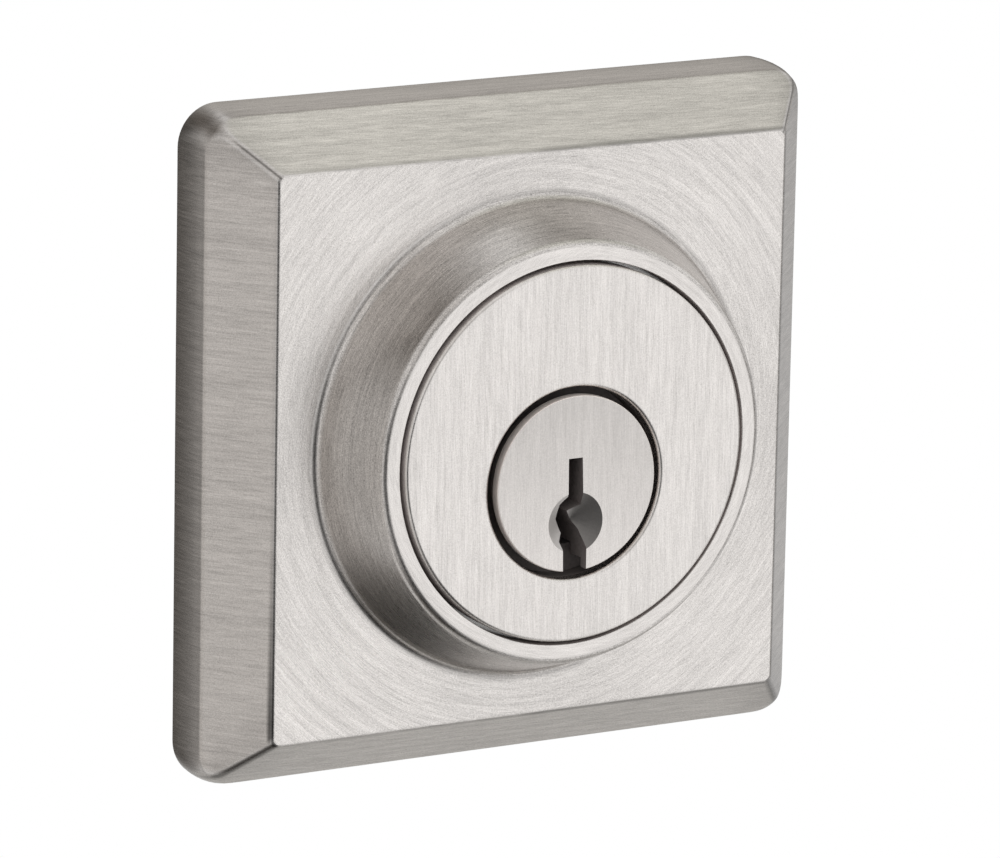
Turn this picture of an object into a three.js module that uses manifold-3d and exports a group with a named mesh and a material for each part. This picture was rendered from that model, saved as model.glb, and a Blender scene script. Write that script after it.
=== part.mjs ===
// The outside half of a deadbolt door lock: a square bevelled rose with a tapered collar,
// and the five-pin cylinder that it holds. Millimetres, +Z up, and the front faces -Y.
// The origin is on the collar's axis, in the plane where the rose meets the door.

import * as THREE from "three";
import { mergeVertices } from "three/addons/utils/BufferGeometryUtils.js";
import Module from "manifold-3d";

const wasm = await Module();
wasm.setup();

// Gaps between parts
const runningGap = 0.1; // round a part that turns
const slidingGap = 0.15; // round a pin in its chamber
const seatGap = 0.2; // where one part rests on another
const looseGap = 0.3; // round a part that is dropped into place

// Rose: a square casting with drafted sides, a wide bevel and a hollow back
const roseSize = 63.5;
const roseCornerRadius = 3;
const roseSideHeight = 4.8;
const roseSideDraft = 0.5;
const roseSideCrown = 0.13; // how far the sides swell out past their draft
const roseBevelWidth = 4.63;
const roseBevelHeight = 5.4;
const roseWall = 2.2;
const ribThickness = 1.8;
const ribHeight = 2.4;

// Collar round the cylinder, cast in one with the rose, with a lip that stops the cylinder
const collarMouthRadius = 18;
const collarRimWidth = 1.75;
const collarHeight = 7.7;
const collarFlare = 2.7; // how far the base stands out past the rim
const collarEdgeRadius = 0.85;
const collarBaseFillet = 0.95;
const lipInset = 0.9; // how far the lip stands in from the bore behind it
const lipDepth = 2;
const sleeveWall = 2;

// Cylinder face: the thin cap on the front of the housing
const faceGap = 0.3; // dark ring between the cap and the collar's mouth
const faceProud = 0.4;
const faceThickness = 1;
const faceChamfer = 0.4;
const skirtWall = 0.65;
const skirtDepth = 1.1;

// Plug: the part that the key turns, below the middle of the face
const plugDrop = 2.7;
const plugFlangeRadius = 8.28;
const plugFlangeGap = 0.72;
const plugFlangeDepth = 1.1;
const plugHubRadius = 7.4; // the step behind the flange, which stops the plug in the housing
const plugHubDepth = 3; // from the plug's front
const plugProud = 0.3;
const plugChamfer = 0.3;
const plugBarrelRadius = 6.35;
const plugThreadStep = 0.85; // how far the thread for the cap lies below the barrel
const plugThreadLength = 3.2;

// Keyway, seen from the front, in heights above and below the plug's axis
const keywayTop = 2.45;
const keywaySlotWidth = 1.44;
const keywaySlotShift = -0.1; // from the plug's middle to the slot's
const keywayMouthWidth = 2.4;
const keywayJog = 1.08; // how far the middle ward pushes the slot aside
const wardHigh = -1.15;
const wardTip = -2.66;
const wardLow = -4.6;
const leadInRadius = 2.85;
const leadInHeight = -3.67;
const leadInDepth = 1.3; // at its middle

// Pins and their chambers
const pinCount = 5;
const pinSpacing = 3.97;
const pinRadius = 1.46;
const keyPinLengths = [4.6, 6.2, 5.3, 6.9, 5.8];
const pinTipRadius = 0.45;
const pinTipHeight = 0.75;
const driverPinLength = 4.9;
const spoolWaistRadius = 1;
const spoolEndLength = 0.9;
const chamberFloor = -2.2; // bottom of a chamber in the plug, from the plug's axis
const springWireRadius = 0.17;
const springTurns = 5;

// Housing round the plug and the pins
const shoulderDepth = 2.2;
const shellWall = 2.75;
const bibleWidth = 9;
const backWall = 1.3; // from the last chamber to the housing's back face
const coverThickness = 0.8;
const coverMargin = 0.5;
const drillPinRadius = 1;
const drillPinLength = 3.4;

// What holds the cylinder in the rose
const washerHeight = 1;
const washerThickness = 0.3;
const washerWaves = 3;
const guardRingWall = 2.4;
const retainerThickness = 1.6;
const retainerRecess = 2.4; // from the door's face to the retainer plate
const retainerMargin = 1.3;
const retainerCornerRadius = 8;
const screwShankRadius = 1.35;
const screwHeadRadius = 2.5;
const screwHeadHeight = 1.5;
const screwLength = 5;
const bossWall = 1.2;

// Posts that the bolts from the inside half screw into
const postSpacing = 38.1;
const postRadius = 3.2;
const postReach = 14; // behind the door's face
const postFlangeRadius = 4.4;
const postFlangeHeight = 1.2;
const postSpigotRadius = 2.3;
const postHoleRadius = 1.95;
const postHoleDepth = 12;

// Tailpiece and the cap nut that keeps it in the plug's back end
const tailReach = 46; // behind the door's face
const tailWidth = 6.2;
const tailThickness = 1.8;
const tailHeadThickness = 2.6;
const tailPocketWall = 0.9; // between the head's pocket and the thread
const tailHeadDepth = 2.3;
const tailPlay = 45; // degrees each way before the plug turns it
const tailNotchSpacing = 6.35;
const tailNotchCount = 4;
const capWall = 1.6;
const capEndThickness = 1;
const capNotchCount = 12;
const capNotchRadius = 0.5;

const collarSides = 64;
const roundSides = 48;
const smallSides = 16;
const holeSides = 20;

// Places along Y, from the front to the back
const flatFront = -(roseSideHeight + roseBevelHeight);
const collarFront = flatFront - collarHeight;
const faceFront = collarFront - faceProud;
const plugFront = faceFront - plugProud;
const faceBack = faceFront + faceThickness;
const housingFront = faceBack + seatGap;
const lipBack = collarFront + lipDepth;
const washerFront = lipBack + seatGap;
const shoulderFront = washerFront + washerHeight + seatGap;
const shoulderBack = shoulderFront + shoulderDepth;
const plugFlangeBack = plugFront + plugFlangeDepth;
const plugHubBack = plugFront + plugHubDepth;
const retainerBack = -retainerRecess;
const retainerFront = retainerBack - retainerThickness;
const sleeveBack = retainerFront - seatGap;
const cavityFront = flatFront + roseWall;
const chamberRadius = pinRadius + slidingGap;
const firstPin = shoulderBack + chamberRadius;
const lastPin = firstPin + (pinCount - 1) * pinSpacing;
const housingBack = lastPin + chamberRadius + backWall;
const plugBack = housingBack + plugThreadLength;
const keywayBack = lastPin + chamberRadius + seatGap;
const tailHeadFront = plugBack - seatGap - tailHeadDepth;

// Radii and heights that follow from the sizes above
const roseHalf = roseSize / 2;
const creaseHalf = roseHalf - roseSideDraft;
const flatHalf = creaseHalf - roseBevelWidth;
const cavityHalf = creaseHalf - roseWall;
const boreRadius = collarMouthRadius + lipInset;
const sleeveRadius = boreRadius + sleeveWall;
const rimRadius = collarMouthRadius + collarRimWidth;
const faceRadius = collarMouthRadius - faceGap;
const frontFlangeRadius = faceRadius - skirtWall - looseGap;
const shoulderRadius = boreRadius - looseGap;
const guardRingInner = shoulderRadius - guardRingWall;
const faceHoleRadius = plugFlangeRadius + plugFlangeGap;
const plugBoreRadius = plugBarrelRadius + runningGap;
const plugThreadRadius = plugBarrelRadius - plugThreadStep;
const tailPocketReach = plugThreadRadius - tailPocketWall;
const tailHeadReach = tailPocketReach - seatGap;
const tailHeadWidth = 2 * Math.sqrt(tailHeadReach ** 2 - (tailHeadThickness / 2) ** 2);
const shellRadius = plugBoreRadius + shellWall;
const bossRadius = screwShankRadius + bossWall;
const screwOffset = (sleeveRadius + bossRadius) / Math.SQRT2;

// Heights above the plug's axis
const bibleTop = Math.sqrt(guardRingInner ** 2 - (bibleWidth / 2) ** 2) - looseGap + plugDrop;
const coverFloor = bibleTop - coverThickness - runningGap;
const keyPinTop = Math.sqrt(plugBarrelRadius ** 2 - pinRadius ** 2);
const driverPinFoot = plugBoreRadius + runningGap / 2;
const driverPinTop = driverPinFoot + driverPinLength;
const springFoot = driverPinTop + runningGap;
const springTop = coverFloor - runningGap;

const finishes = {
  nickel: { color: 0xc9c7c1, roughness: 0.34, metalness: 1 },
  brass: { color: 0xb9a06a, roughness: 0.4, metalness: 1 },
  zinc: { color: 0x9c9d9e, roughness: 0.55, metalness: 0.9 },
  steel: { color: 0x84878a, roughness: 0.35, metalness: 1 },
  hardened: { color: 0x55585c, roughness: 0.45, metalness: 1 },
};

// A closed geometry as a solid that can be joined and cut
function toSolid(geometry) {
  geometry.deleteAttribute("normal");
  geometry.deleteAttribute("uv");
  const merged = mergeVertices(geometry);
  const corners = merged.index.array;
  const faces = [];
  for (let i = 0; i < corners.length; i += 3) {
    const [a, b, c] = corners.slice(i, i + 3);
    if (a !== b && b !== c && c !== a) faces.push(a, b, c);
  }
  const mesh = new wasm.Mesh({
    numProp: 3,
    vertProperties: merged.attributes.position.array,
    triVerts: new Uint32Array(faces),
  });
  return new wasm.Manifold(mesh);
}

function toMesh(name, solid, finish) {
  const { vertProperties, triVerts } = solid.getMesh();
  const geometry = new THREE.BufferGeometry();
  geometry.setAttribute("position", new THREE.BufferAttribute(vertProperties, 3));
  geometry.setIndex(new THREE.BufferAttribute(triVerts, 1));
  geometry.computeVertexNormals();
  const mesh = new THREE.Mesh(geometry, new THREE.MeshStandardMaterial(finishes[finish]));
  mesh.name = name;
  return mesh;
}

// A solid turned about the Y axis. The profile's points are [radius, y], with the outside
// running from front to back
function turned(profile, sides = roundSides) {
  const points = profile.map(([radius, y]) => new THREE.Vector2(radius, y));
  if (points[0].x > 0) points.push(points[0].clone());
  return new THREE.LatheGeometry(points, sides);
}

// The same about the Z axis, with points of [radius, z] and the outside running upwards
function turnedUpright(profile, sides = smallSides) {
  return turned(profile, sides).rotateX(Math.PI / 2);
}

function disc(radius, front, back, sides = roundSides) {
  return turned([[0, front], [radius, front], [radius, back], [0, back]], sides);
}

// A shape drawn in X and Z, as seen from the front, and extruded along Y
function extruded(shape, front, back, curveSegments = 8) {
  const options = { depth: back - front, bevelEnabled: false, curveSegments };
  return new THREE.ExtrudeGeometry(shape, options).rotateX(Math.PI / 2).translate(0, back, 0);
}

function box(low, high) {
  const size = high.map((value, i) => value - low[i]);
  const middle = high.map((value, i) => (value + low[i]) / 2);
  return new THREE.BoxGeometry(...size).translate(...middle);
}

// Points on an arc in a profile, with angles in degrees
function arc(x, y, radius, start, end, steps) {
  const points = [];
  for (let i = 0; i <= steps; i += 1) {
    const angle = THREE.MathUtils.degToRad(start + ((end - start) * i) / steps);
    points.push([x + radius * Math.cos(angle), y + radius * Math.sin(angle)]);
  }
  return points;
}

function roundedSquare(half, radius) {
  const reach = half - radius;
  const shape = new THREE.Shape();
  shape.absarc(reach, reach, radius, 0, Math.PI / 2);
  shape.absarc(-reach, reach, radius, Math.PI / 2, Math.PI);
  shape.absarc(-reach, -reach, radius, Math.PI, Math.PI * 1.5);
  shape.absarc(reach, -reach, radius, Math.PI * 1.5, Math.PI * 2);
  shape.closePath();
  return shape;
}

function allOf(geometries) {
  return geometries.map(toSolid).reduce((whole, piece) => whole.add(piece));
}

// Rose

// A square that tapers along Y as its profile does, cut by a prism with rounded corners
function squareBlock(profile, half, cornerRadius) {
  const corners = profile.map(([reach, y]) => [reach * Math.SQRT2, y]);
  const ends = [corners[0][1], corners[corners.length - 1][1]];
  const block = toSolid(turned(corners, 4).rotateY(Math.PI / 4));
  return block.intersect(toSolid(extruded(roundedSquare(half, cornerRadius), ...ends)));
}

function roseBody() {
  const sides = [1, 2, 3].map((step) => {
    const share = step / 4;
    const crown = roseSideCrown * 4 * share * (1 - share);
    return [creaseHalf + roseSideDraft * share + crown, -roseSideHeight * (1 - share)];
  });
  return squareBlock(
    [[0, flatFront], [flatHalf, flatFront], [creaseHalf, -roseSideHeight], ...sides, [roseHalf, 0],
      [0, 0]],
    roseHalf,
    roseCornerRadius,
  );
}

// The hollow in the rose's back, whose walls run parallel to the bevel and the sides
function roseCavity() {
  const slope = roseBevelHeight / roseBevelWidth;
  const bevelShift = roseWall * Math.hypot(1, 1 / slope);
  const frontHalf = flatHalf + roseWall / slope - bevelShift;
  const crease = cavityFront + (cavityHalf - frontHalf) * slope;
  return squareBlock(
    [[0, cavityFront], [frontHalf, cavityFront], [cavityHalf, crease], [cavityHalf, 1], [0, 1]],
    cavityHalf,
    roseCornerRadius - roseWall,
  );
}

// Outside of the collar: a rounded rim, a straight taper and a small fillet on the flat
function collarBody() {
  const taper = Math.atan2(collarFlare, collarHeight);
  const taperDegrees = THREE.MathUtils.radToDeg(taper);
  const baseRadius = rimRadius + collarFlare;
  const rimInset = collarEdgeRadius * Math.tan((Math.PI / 2 - taper) / 2);
  const filletInset = collarBaseFillet * (1 / Math.cos(taper) - Math.tan(taper));
  return turned([
    [0, collarFront],
    ...arc(rimRadius - rimInset, collarFront + collarEdgeRadius, collarEdgeRadius,
      -90, -taperDegrees, 4),
    ...arc(baseRadius + filletInset, flatFront - collarBaseFillet, collarBaseFillet,
      180 - taperDegrees, 90, 3),
    [baseRadius + filletInset, cavityFront - 0.5],
    [0, cavityFront - 0.5],
  ], collarSides);
}

function screwPlaces() {
  const places = [];
  for (const side of [-1, 1]) {
    for (const level of [-1, 1]) places.push([side * screwOffset, level * screwOffset]);
  }
  return places;
}

// Ribs across the hollow, from the sleeve to the middle of each side
function roseRibs() {
  const ribs = [0, 1, 2, 3].map((quarter) => {
    const low = [boreRadius + 1, cavityFront - 0.5, -ribThickness / 2];
    const high = [roseHalf, cavityFront + ribHeight, ribThickness / 2];
    return box(low, high).rotateY((quarter * Math.PI) / 2);
  });
  return allOf(ribs).intersect(roseBody());
}

function rose() {
  let solid = roseBody().subtract(roseCavity());
  solid = solid.add(toSolid(collarBody()));
  solid = solid.add(toSolid(disc(sleeveRadius, cavityFront - 1, sleeveBack, collarSides)));
  solid = solid.add(roseRibs());
  for (const [x, z] of screwPlaces()) {
    const boss = disc(bossRadius, cavityFront - 0.5, sleeveBack, holeSides);
    solid = solid.add(toSolid(boss.translate(x, 0, z)));
  }
  solid = solid.subtract(toSolid(disc(collarMouthRadius, collarFront - 1, 0, collarSides)));
  solid = solid.subtract(toSolid(disc(boreRadius, lipBack, 0, collarSides)));
  for (const [x, z] of screwPlaces()) {
    const hole = disc(screwShankRadius + runningGap, cavityFront, 0, smallSides);
    solid = solid.subtract(toSolid(hole.translate(x, 0, z)));
  }
  return solid;
}

// Cylinder face and housing

// These are turned about the collar's axis, which is plugDrop above the plug's
function cylinderFace() {
  const cap = turned([
    [0, faceFront],
    [faceRadius - faceChamfer, faceFront],
    [faceRadius, faceFront + faceChamfer],
    [faceRadius, faceBack + skirtDepth],
    [faceRadius - skirtWall, faceBack + skirtDepth],
    [faceRadius - skirtWall, faceBack],
    [0, faceBack],
  ], collarSides);
  const hole = disc(faceHoleRadius, faceFront - 1, faceBack + 1);
  return toSolid(cap.translate(0, 0, plugDrop)).subtract(toSolid(hole));
}

function chamberPlace(index) {
  return firstPin + index * pinSpacing;
}

function chamber(index, foot, top) {
  const hole = new THREE.CylinderGeometry(chamberRadius, chamberRadius, top - foot, holeSides);
  return hole.rotateX(Math.PI / 2).translate(0, chamberPlace(index), (foot + top) / 2);
}

function coverSlot(inset) {
  const halfWidth = chamberRadius + coverMargin - inset;
  const start = firstPin - chamberRadius - coverMargin + slidingGap + inset;
  return box([-halfWidth, start, coverFloor + inset], [halfWidth, housingBack + 1, bibleTop + 1]);
}

function housing() {
  const flanges = turned([
    [0, housingFront],
    [frontFlangeRadius, housingFront],
    [frontFlangeRadius, shoulderFront],
    [shoulderRadius, shoulderFront],
    [shoulderRadius, shoulderBack],
    [0, shoulderBack],
  ], collarSides);
  let solid = allOf([
    flanges.translate(0, 0, plugDrop),
    disc(shellRadius, shoulderBack - 1, housingBack),
    box([-bibleWidth / 2, shoulderBack - 1, 0], [bibleWidth / 2, housingBack, bibleTop]),
  ]);
  solid = solid.subtract(toSolid(disc(faceHoleRadius, housingFront - 1, plugHubBack + seatGap)));
  solid = solid.subtract(toSolid(disc(plugBoreRadius, housingFront, housingBack + 1)));
  for (let i = 0; i < pinCount; i += 1) {
    solid = solid.subtract(toSolid(chamber(i, 0, bibleTop + 1)));
  }
  solid = solid.subtract(toSolid(coverSlot(0)));
  for (const side of [-1, 1]) {
    const hole = disc(drillPinRadius + runningGap, shoulderBack - drillPinLength - seatGap,
      shoulderBack + 1, smallSides);
    solid = solid.subtract(toSolid(hole.translate(side * drillPinOffset(), 0, plugDrop)));
  }
  return solid;
}

// Halfway between the plug's counterbore and the housing's front flange
function drillPinOffset() {
  return (faceHoleRadius + frontFlangeRadius) / 2;
}

function drillPin() {
  const back = shoulderBack - seatGap / 2;
  return toSolid(disc(drillPinRadius, back - drillPinLength, back, smallSides));
}

// The strip that closes the chambers, flush with the housing's top and back
function chamberCover() {
  const limit = box([-bibleWidth, plugFront, 0], [bibleWidth, housingBack, bibleTop - runningGap]);
  return toSolid(coverSlot(runningGap)).intersect(toSolid(limit));
}

// Plug

// The keyway's outline: a narrow slot above, and a wider mouth below that jogs round a ward
function keywayShape() {
  const left = keywaySlotShift - keywaySlotWidth / 2;
  const right = keywaySlotShift + keywaySlotWidth / 2;
  const mouth = keywayMouthWidth / 2;
  const bottom = -plugFlangeRadius - 1;
  const shape = new THREE.Shape();
  shape.moveTo(right, keywayTop);
  shape.lineTo(left, keywayTop);
  shape.lineTo(left, wardHigh);
  shape.lineTo(left - keywayJog * 0.75, wardHigh - 0.7);
  shape.lineTo(left - keywayJog, wardTip - 0.5);
  shape.lineTo(-mouth, wardLow);
  shape.lineTo(-mouth - 0.35, wardLow - 0.75);
  shape.lineTo(-mouth, wardLow - 1.5);
  shape.lineTo(-mouth, bottom);
  shape.lineTo(mouth, bottom);
  shape.lineTo(mouth, wardLow - 1.5);
  shape.lineTo(right + 0.1, wardLow + 0.1);
  shape.lineTo(right - keywayJog, wardTip);
  shape.lineTo(right + 0.15, wardHigh - 0.95);
  return shape;
}

// A shallow cone that is leadInRadius wide where it meets the plug's front
function leadIn() {
  const cone = turned([
    [0, plugFront - leadInDepth],
    [leadInRadius * 2, plugFront - leadInDepth],
    [0, plugFront + leadInDepth],
  ], 32);
  return cone.translate(0, 0, leadInHeight);
}

// The pocket in the plug's back end, shaped like a bow tie: it lets the tailpiece's flat head
// swing by its play before a wall meets the head's side
function tailPocket() {
  const play = THREE.MathUtils.degToRad(tailPlay);
  const side = tailHeadThickness / 2 + runningGap;
  const waist = side / Math.cos(play);
  const start = play - Math.asin(side / tailPocketReach);
  const shape = new THREE.Shape();
  shape.moveTo(waist, 0);
  shape.absarc(0, 0, tailPocketReach, start, Math.PI - start);
  shape.lineTo(-waist, 0);
  shape.absarc(0, 0, tailPocketReach, Math.PI + start, 2 * Math.PI - start);
  return extruded(shape, tailHeadFront - seatGap, plugBack + 1, 10);
}

function plug() {
  const body = turned([
    [0, plugFront],
    [plugFlangeRadius - plugChamfer, plugFront],
    [plugFlangeRadius, plugFront + plugChamfer],
    [plugFlangeRadius, plugFlangeBack],
    [plugHubRadius, plugFlangeBack],
    [plugHubRadius, plugHubBack],
    [plugBarrelRadius, plugHubBack],
    [plugBarrelRadius, housingBack],
    [plugThreadRadius, housingBack],
    [plugThreadRadius, plugBack],
    [0, plugBack],
  ]);
  let solid = toSolid(body);
  solid = solid.subtract(toSolid(extruded(keywayShape(), plugFront - 1, keywayBack)));
  solid = solid.subtract(toSolid(leadIn()));
  for (let i = 0; i < pinCount; i += 1) {
    solid = solid.subtract(toSolid(chamber(i, chamberFloor, plugFlangeRadius)));
  }
  return solid.subtract(toSolid(tailPocket()));
}

// Pins, with the shear line just above the key pins' tops

function keyPin(length) {
  const foot = keyPinTop - length;
  return toSolid(turnedUpright([
    [0, foot],
    [pinTipRadius, foot],
    [pinRadius, foot + pinTipHeight],
    [pinRadius, keyPinTop],
    [0, keyPinTop],
  ]));
}

// Every second driver pin is a spool, which catches on the shear line if it is picked
function driverPin(isSpool) {
  const outline = [[0, driverPinFoot], [pinRadius, driverPinFoot]];
  if (isSpool) {
    const step = pinRadius - spoolWaistRadius;
    const low = driverPinFoot + spoolEndLength;
    const high = driverPinTop - spoolEndLength;
    outline.push([pinRadius, low], [spoolWaistRadius, low + step]);
    outline.push([spoolWaistRadius, high - step], [pinRadius, high]);
  }
  outline.push([pinRadius, driverPinTop], [0, driverPinTop]);
  return toSolid(turnedUpright(outline));
}

class Helix extends THREE.Curve {
  constructor(radius, foot, top, turns) {
    super();
    Object.assign(this, { radius, foot, top, turns });
  }

  getPoint(t, target = new THREE.Vector3()) {
    const angle = t * this.turns * 2 * Math.PI;
    const height = this.foot + t * (this.top - this.foot);
    return target.set(this.radius * Math.cos(angle), this.radius * Math.sin(angle), height);
  }
}

function pinSpring() {
  const wire = new THREE.Shape().absarc(0, 0, springWireRadius, 0, 2 * Math.PI);
  const coilRadius = pinRadius - springWireRadius;
  const low = springFoot + springWireRadius;
  const high = springTop - springWireRadius;
  const extrudePath = new Helix(coilRadius, low, high, springTurns);
  const options = { steps: springTurns * 8, curveSegments: 3, extrudePath };
  return toSolid(new THREE.ExtrudeGeometry(wire, options));
}

// What holds the cylinder in the rose

// A flat ring bent into waves, which takes up the play between the lip and the shoulder
function waveWasher() {
  const inner = frontFlangeRadius + looseGap;
  const front = washerFront + (washerHeight - washerThickness) / 2;
  const back = front + washerThickness;
  const ring = turned([[inner, front], [shoulderRadius, front], [shoulderRadius, back],
    [inner, back]], 48);
  const points = ring.attributes.position;
  for (let i = 0; i < points.count; i += 1) {
    const angle = Math.atan2(points.getX(i), points.getZ(i));
    const lift = (Math.cos(angle * washerWaves) * (washerHeight - washerThickness)) / 2;
    points.setY(i, points.getY(i) + lift);
  }
  return toSolid(ring);
}

function guardRing() {
  const front = shoulderBack + seatGap;
  return toSolid(turned([
    [guardRingInner, front],
    [shoulderRadius, front],
    [shoulderRadius, sleeveBack],
    [guardRingInner, sleeveBack],
  ]));
}

// A stamped plate with a keyhole opening that keeps the housing from turning
function retainerPlate() {
  const half = cavityHalf - retainerMargin;
  const blank = extruded(roundedSquare(half, retainerCornerRadius), retainerFront, retainerBack);
  const slotHalf = bibleWidth / 2 + looseGap;
  const slotTop = bibleTop + looseGap;
  const low = retainerFront - 1;
  const high = retainerBack + 1;
  const holes = [
    disc(shellRadius + looseGap, low, high).translate(0, 0, -plugDrop),
    box([-slotHalf, low, -plugDrop], [slotHalf, high, slotTop - plugDrop]),
  ];
  for (const [x, z] of screwPlaces()) {
    holes.push(disc(screwShankRadius + looseGap, low, high, smallSides).translate(x, 0, z));
  }
  for (const side of [-1, 1]) {
    const hole = disc(postSpigotRadius + seatGap, low, high, holeSides);
    holes.push(hole.translate((side * postSpacing) / 2, 0, 0));
  }
  return toSolid(blank).subtract(allOf(holes));
}

function retainerScrew() {
  const seat = retainerBack + seatGap;
  return toSolid(turned([
    [0, seat - screwLength],
    [screwShankRadius, seat - screwLength],
    [screwShankRadius, seat],
    [screwHeadRadius, seat],
    [screwHeadRadius, seat + screwHeadHeight * 0.6],
    [screwHeadRadius * 0.75, seat + screwHeadHeight],
    [0, seat + screwHeadHeight],
  ], smallSides));
}

function screwPost() {
  const seat = retainerBack + seatGap;
  return toSolid(turned([
    [0, retainerFront],
    [postSpigotRadius, retainerFront],
    [postSpigotRadius, seat],
    [postFlangeRadius, seat],
    [postFlangeRadius, seat + postFlangeHeight],
    [postRadius, seat + postFlangeHeight],
    [postRadius, postReach],
    [postHoleRadius, postReach],
    [postHoleRadius, postReach - postHoleDepth],
    [0, postReach - postHoleDepth],
  ], holeSides));
}

// Back end of the plug

function plugCap() {
  const inner = plugThreadRadius + runningGap;
  const outer = inner + capWall;
  const front = housingBack + seatGap;
  const end = plugBack + seatGap;
  const bladeHole = Math.hypot(tailWidth, tailThickness) / 2 + looseGap;
  let solid = toSolid(turned([
    [inner, front],
    [outer, front],
    [outer, end + capEndThickness],
    [bladeHole, end + capEndThickness],
    [bladeHole, end],
    [inner, end],
  ], 48));
  for (let i = 0; i < capNotchCount; i += 1) {
    const notch = disc(capNotchRadius, front - 1, end + capEndThickness + 1, 8);
    const angle = (i * 2 * Math.PI) / capNotchCount;
    solid = solid.subtract(toSolid(notch.translate(outer, 0, 0).rotateY(angle)));
  }
  return solid;
}

// A flat blade with a wide head, and paired notches where it is snapped to length
function tailpiece() {
  const head = tailHeadFront + tailHeadDepth;
  const solid = allOf([
    box([-tailHeadThickness / 2, tailHeadFront, -tailHeadWidth / 2],
      [tailHeadThickness / 2, head, tailHeadWidth / 2]),
    box([-tailThickness / 2, head - 1, -tailWidth / 2],
      [tailThickness / 2, tailReach, tailWidth / 2]),
  ]);
  const notches = [];
  for (let i = 1; i <= tailNotchCount; i += 1) {
    for (const side of [-1, 1]) {
      const notch = new THREE.BoxGeometry(tailThickness * 2, 0.8, 0.8).rotateX(Math.PI / 4);
      notches.push(notch.translate(0, tailReach - i * tailNotchSpacing, (side * tailWidth) / 2));
    }
  }
  return solid.subtract(allOf(notches));
}

// Assembly

function roseGroup() {
  const group = new THREE.Group();
  group.add(
    toMesh("rose_plate", rose(), "nickel"),
    toMesh("wave_washer", waveWasher(), "steel"),
    toMesh("guard_ring", guardRing(), "hardened"),
    toMesh("retainer_plate", retainerPlate(), "steel"),
  );
  screwPlaces().forEach(([x, z], i) => {
    const screw = toMesh(`retainer_screw_${i + 1}`, retainerScrew(), "steel");
    screw.position.set(x, 0, z);
    group.add(screw);
  });
  for (const [name, side] of [["left", -1], ["right", 1]]) {
    const post = toMesh(`screw_post_${name}`, screwPost(), "steel");
    post.position.x = (side * postSpacing) / 2;
    group.add(post);
  }
  return group;
}

// Everything in this group is placed from the plug's axis
function cylinderGroup() {
  const group = new THREE.Group();
  group.position.z = -plugDrop;
  group.add(
    toMesh("cylinder_face", cylinderFace(), "nickel"),
    toMesh("cylinder_housing", housing(), "zinc"),
    toMesh("chamber_cover", chamberCover(), "brass"),
    toMesh("plug", plug(), "nickel"),
    toMesh("plug_cap", plugCap(), "brass"),
    toMesh("tailpiece", tailpiece(), "steel"),
  );
  for (const [name, side] of [["left", -1], ["right", 1]]) {
    const pin = toMesh(`drill_pin_${name}`, drillPin(), "hardened");
    pin.position.set(side * drillPinOffset(), 0, plugDrop);
    group.add(pin);
  }
  for (let i = 0; i < pinCount; i += 1) {
    const stack = new THREE.Group();
    stack.position.y = chamberPlace(i);
    stack.add(
      toMesh(`key_pin_${i + 1}`, keyPin(keyPinLengths[i]), "brass"),
      toMesh(`driver_pin_${i + 1}`, driverPin(i % 2 === 1), "brass"),
      toMesh(`pin_spring_${i + 1}`, pinSpring(), "steel"),
    );
    group.add(stack);
  }
  return group;
}

const lock = new THREE.Group();
lock.name = "deadbolt_outside_half";
lock.add(roseGroup(), cylinderGroup());

export default lock;
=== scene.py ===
# Outside half of a deadbolt lock: square bevelled rose, tapered collar, pin-tumbler cylinder
import math

import bmesh
import bpy
import numpy as np
from mathutils import Matrix, Vector


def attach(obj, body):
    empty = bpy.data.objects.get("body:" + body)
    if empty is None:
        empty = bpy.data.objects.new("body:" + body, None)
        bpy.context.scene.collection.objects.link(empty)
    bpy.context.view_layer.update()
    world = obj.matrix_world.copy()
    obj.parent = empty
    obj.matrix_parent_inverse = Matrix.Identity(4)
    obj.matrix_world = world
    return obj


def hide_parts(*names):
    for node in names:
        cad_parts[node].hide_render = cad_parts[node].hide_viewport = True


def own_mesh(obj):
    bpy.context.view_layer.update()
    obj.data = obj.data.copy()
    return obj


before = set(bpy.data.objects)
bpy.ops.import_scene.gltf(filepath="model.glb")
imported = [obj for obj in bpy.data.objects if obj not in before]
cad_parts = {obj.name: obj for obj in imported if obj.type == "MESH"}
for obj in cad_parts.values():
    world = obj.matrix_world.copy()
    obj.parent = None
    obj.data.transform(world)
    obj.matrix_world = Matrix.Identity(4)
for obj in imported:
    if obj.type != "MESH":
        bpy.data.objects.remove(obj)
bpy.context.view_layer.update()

mm = 0.001
facesFront = -0.97  # a face whose normal has less y than this lies square to the front
print("frame loaded:", len(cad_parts), "nodes")


def metres(values):
    return [value * mm for value in values]


def around(steps):
    # angles of equal steps round a circle
    return [2 * math.pi * k / steps for k in range(steps)]


# small helpers for meshes

def filletPath(corners, steps=6, support=0.12):
    # corners are (x, y, radius); gives the same path with round corners
    path = []
    count = len(corners)
    for i, corner in enumerate(corners):
        here = Vector(corner[:2])
        radius = corner[2] if len(corner) > 2 else 0
        if radius <= 0:
            path.append(tuple(here))
            continue
        before = (Vector(corners[i - 1][:2]) - here).normalized()
        after = (Vector(corners[(i + 1) % count][:2]) - here).normalized()
        half = before.angle(after) / 2
        reach = radius / math.tan(half)
        middle = here + (before + after).normalized() * (radius / math.sin(half))
        start = here + before * reach - middle
        end = here + after * reach - middle
        turn = start.angle_signed(end)
        path.append(tuple(here + before * (reach + support)))
        for k in range(steps + 1):
            path.append(tuple(middle + Matrix.Rotation(-turn * k / steps, 2) @ start))
        path.append(tuple(here + after * (reach + support)))
    return path


def newObject(name, data):
    piece = bpy.data.objects.new(name, data)
    bpy.context.scene.collection.objects.link(piece)
    return piece


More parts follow.
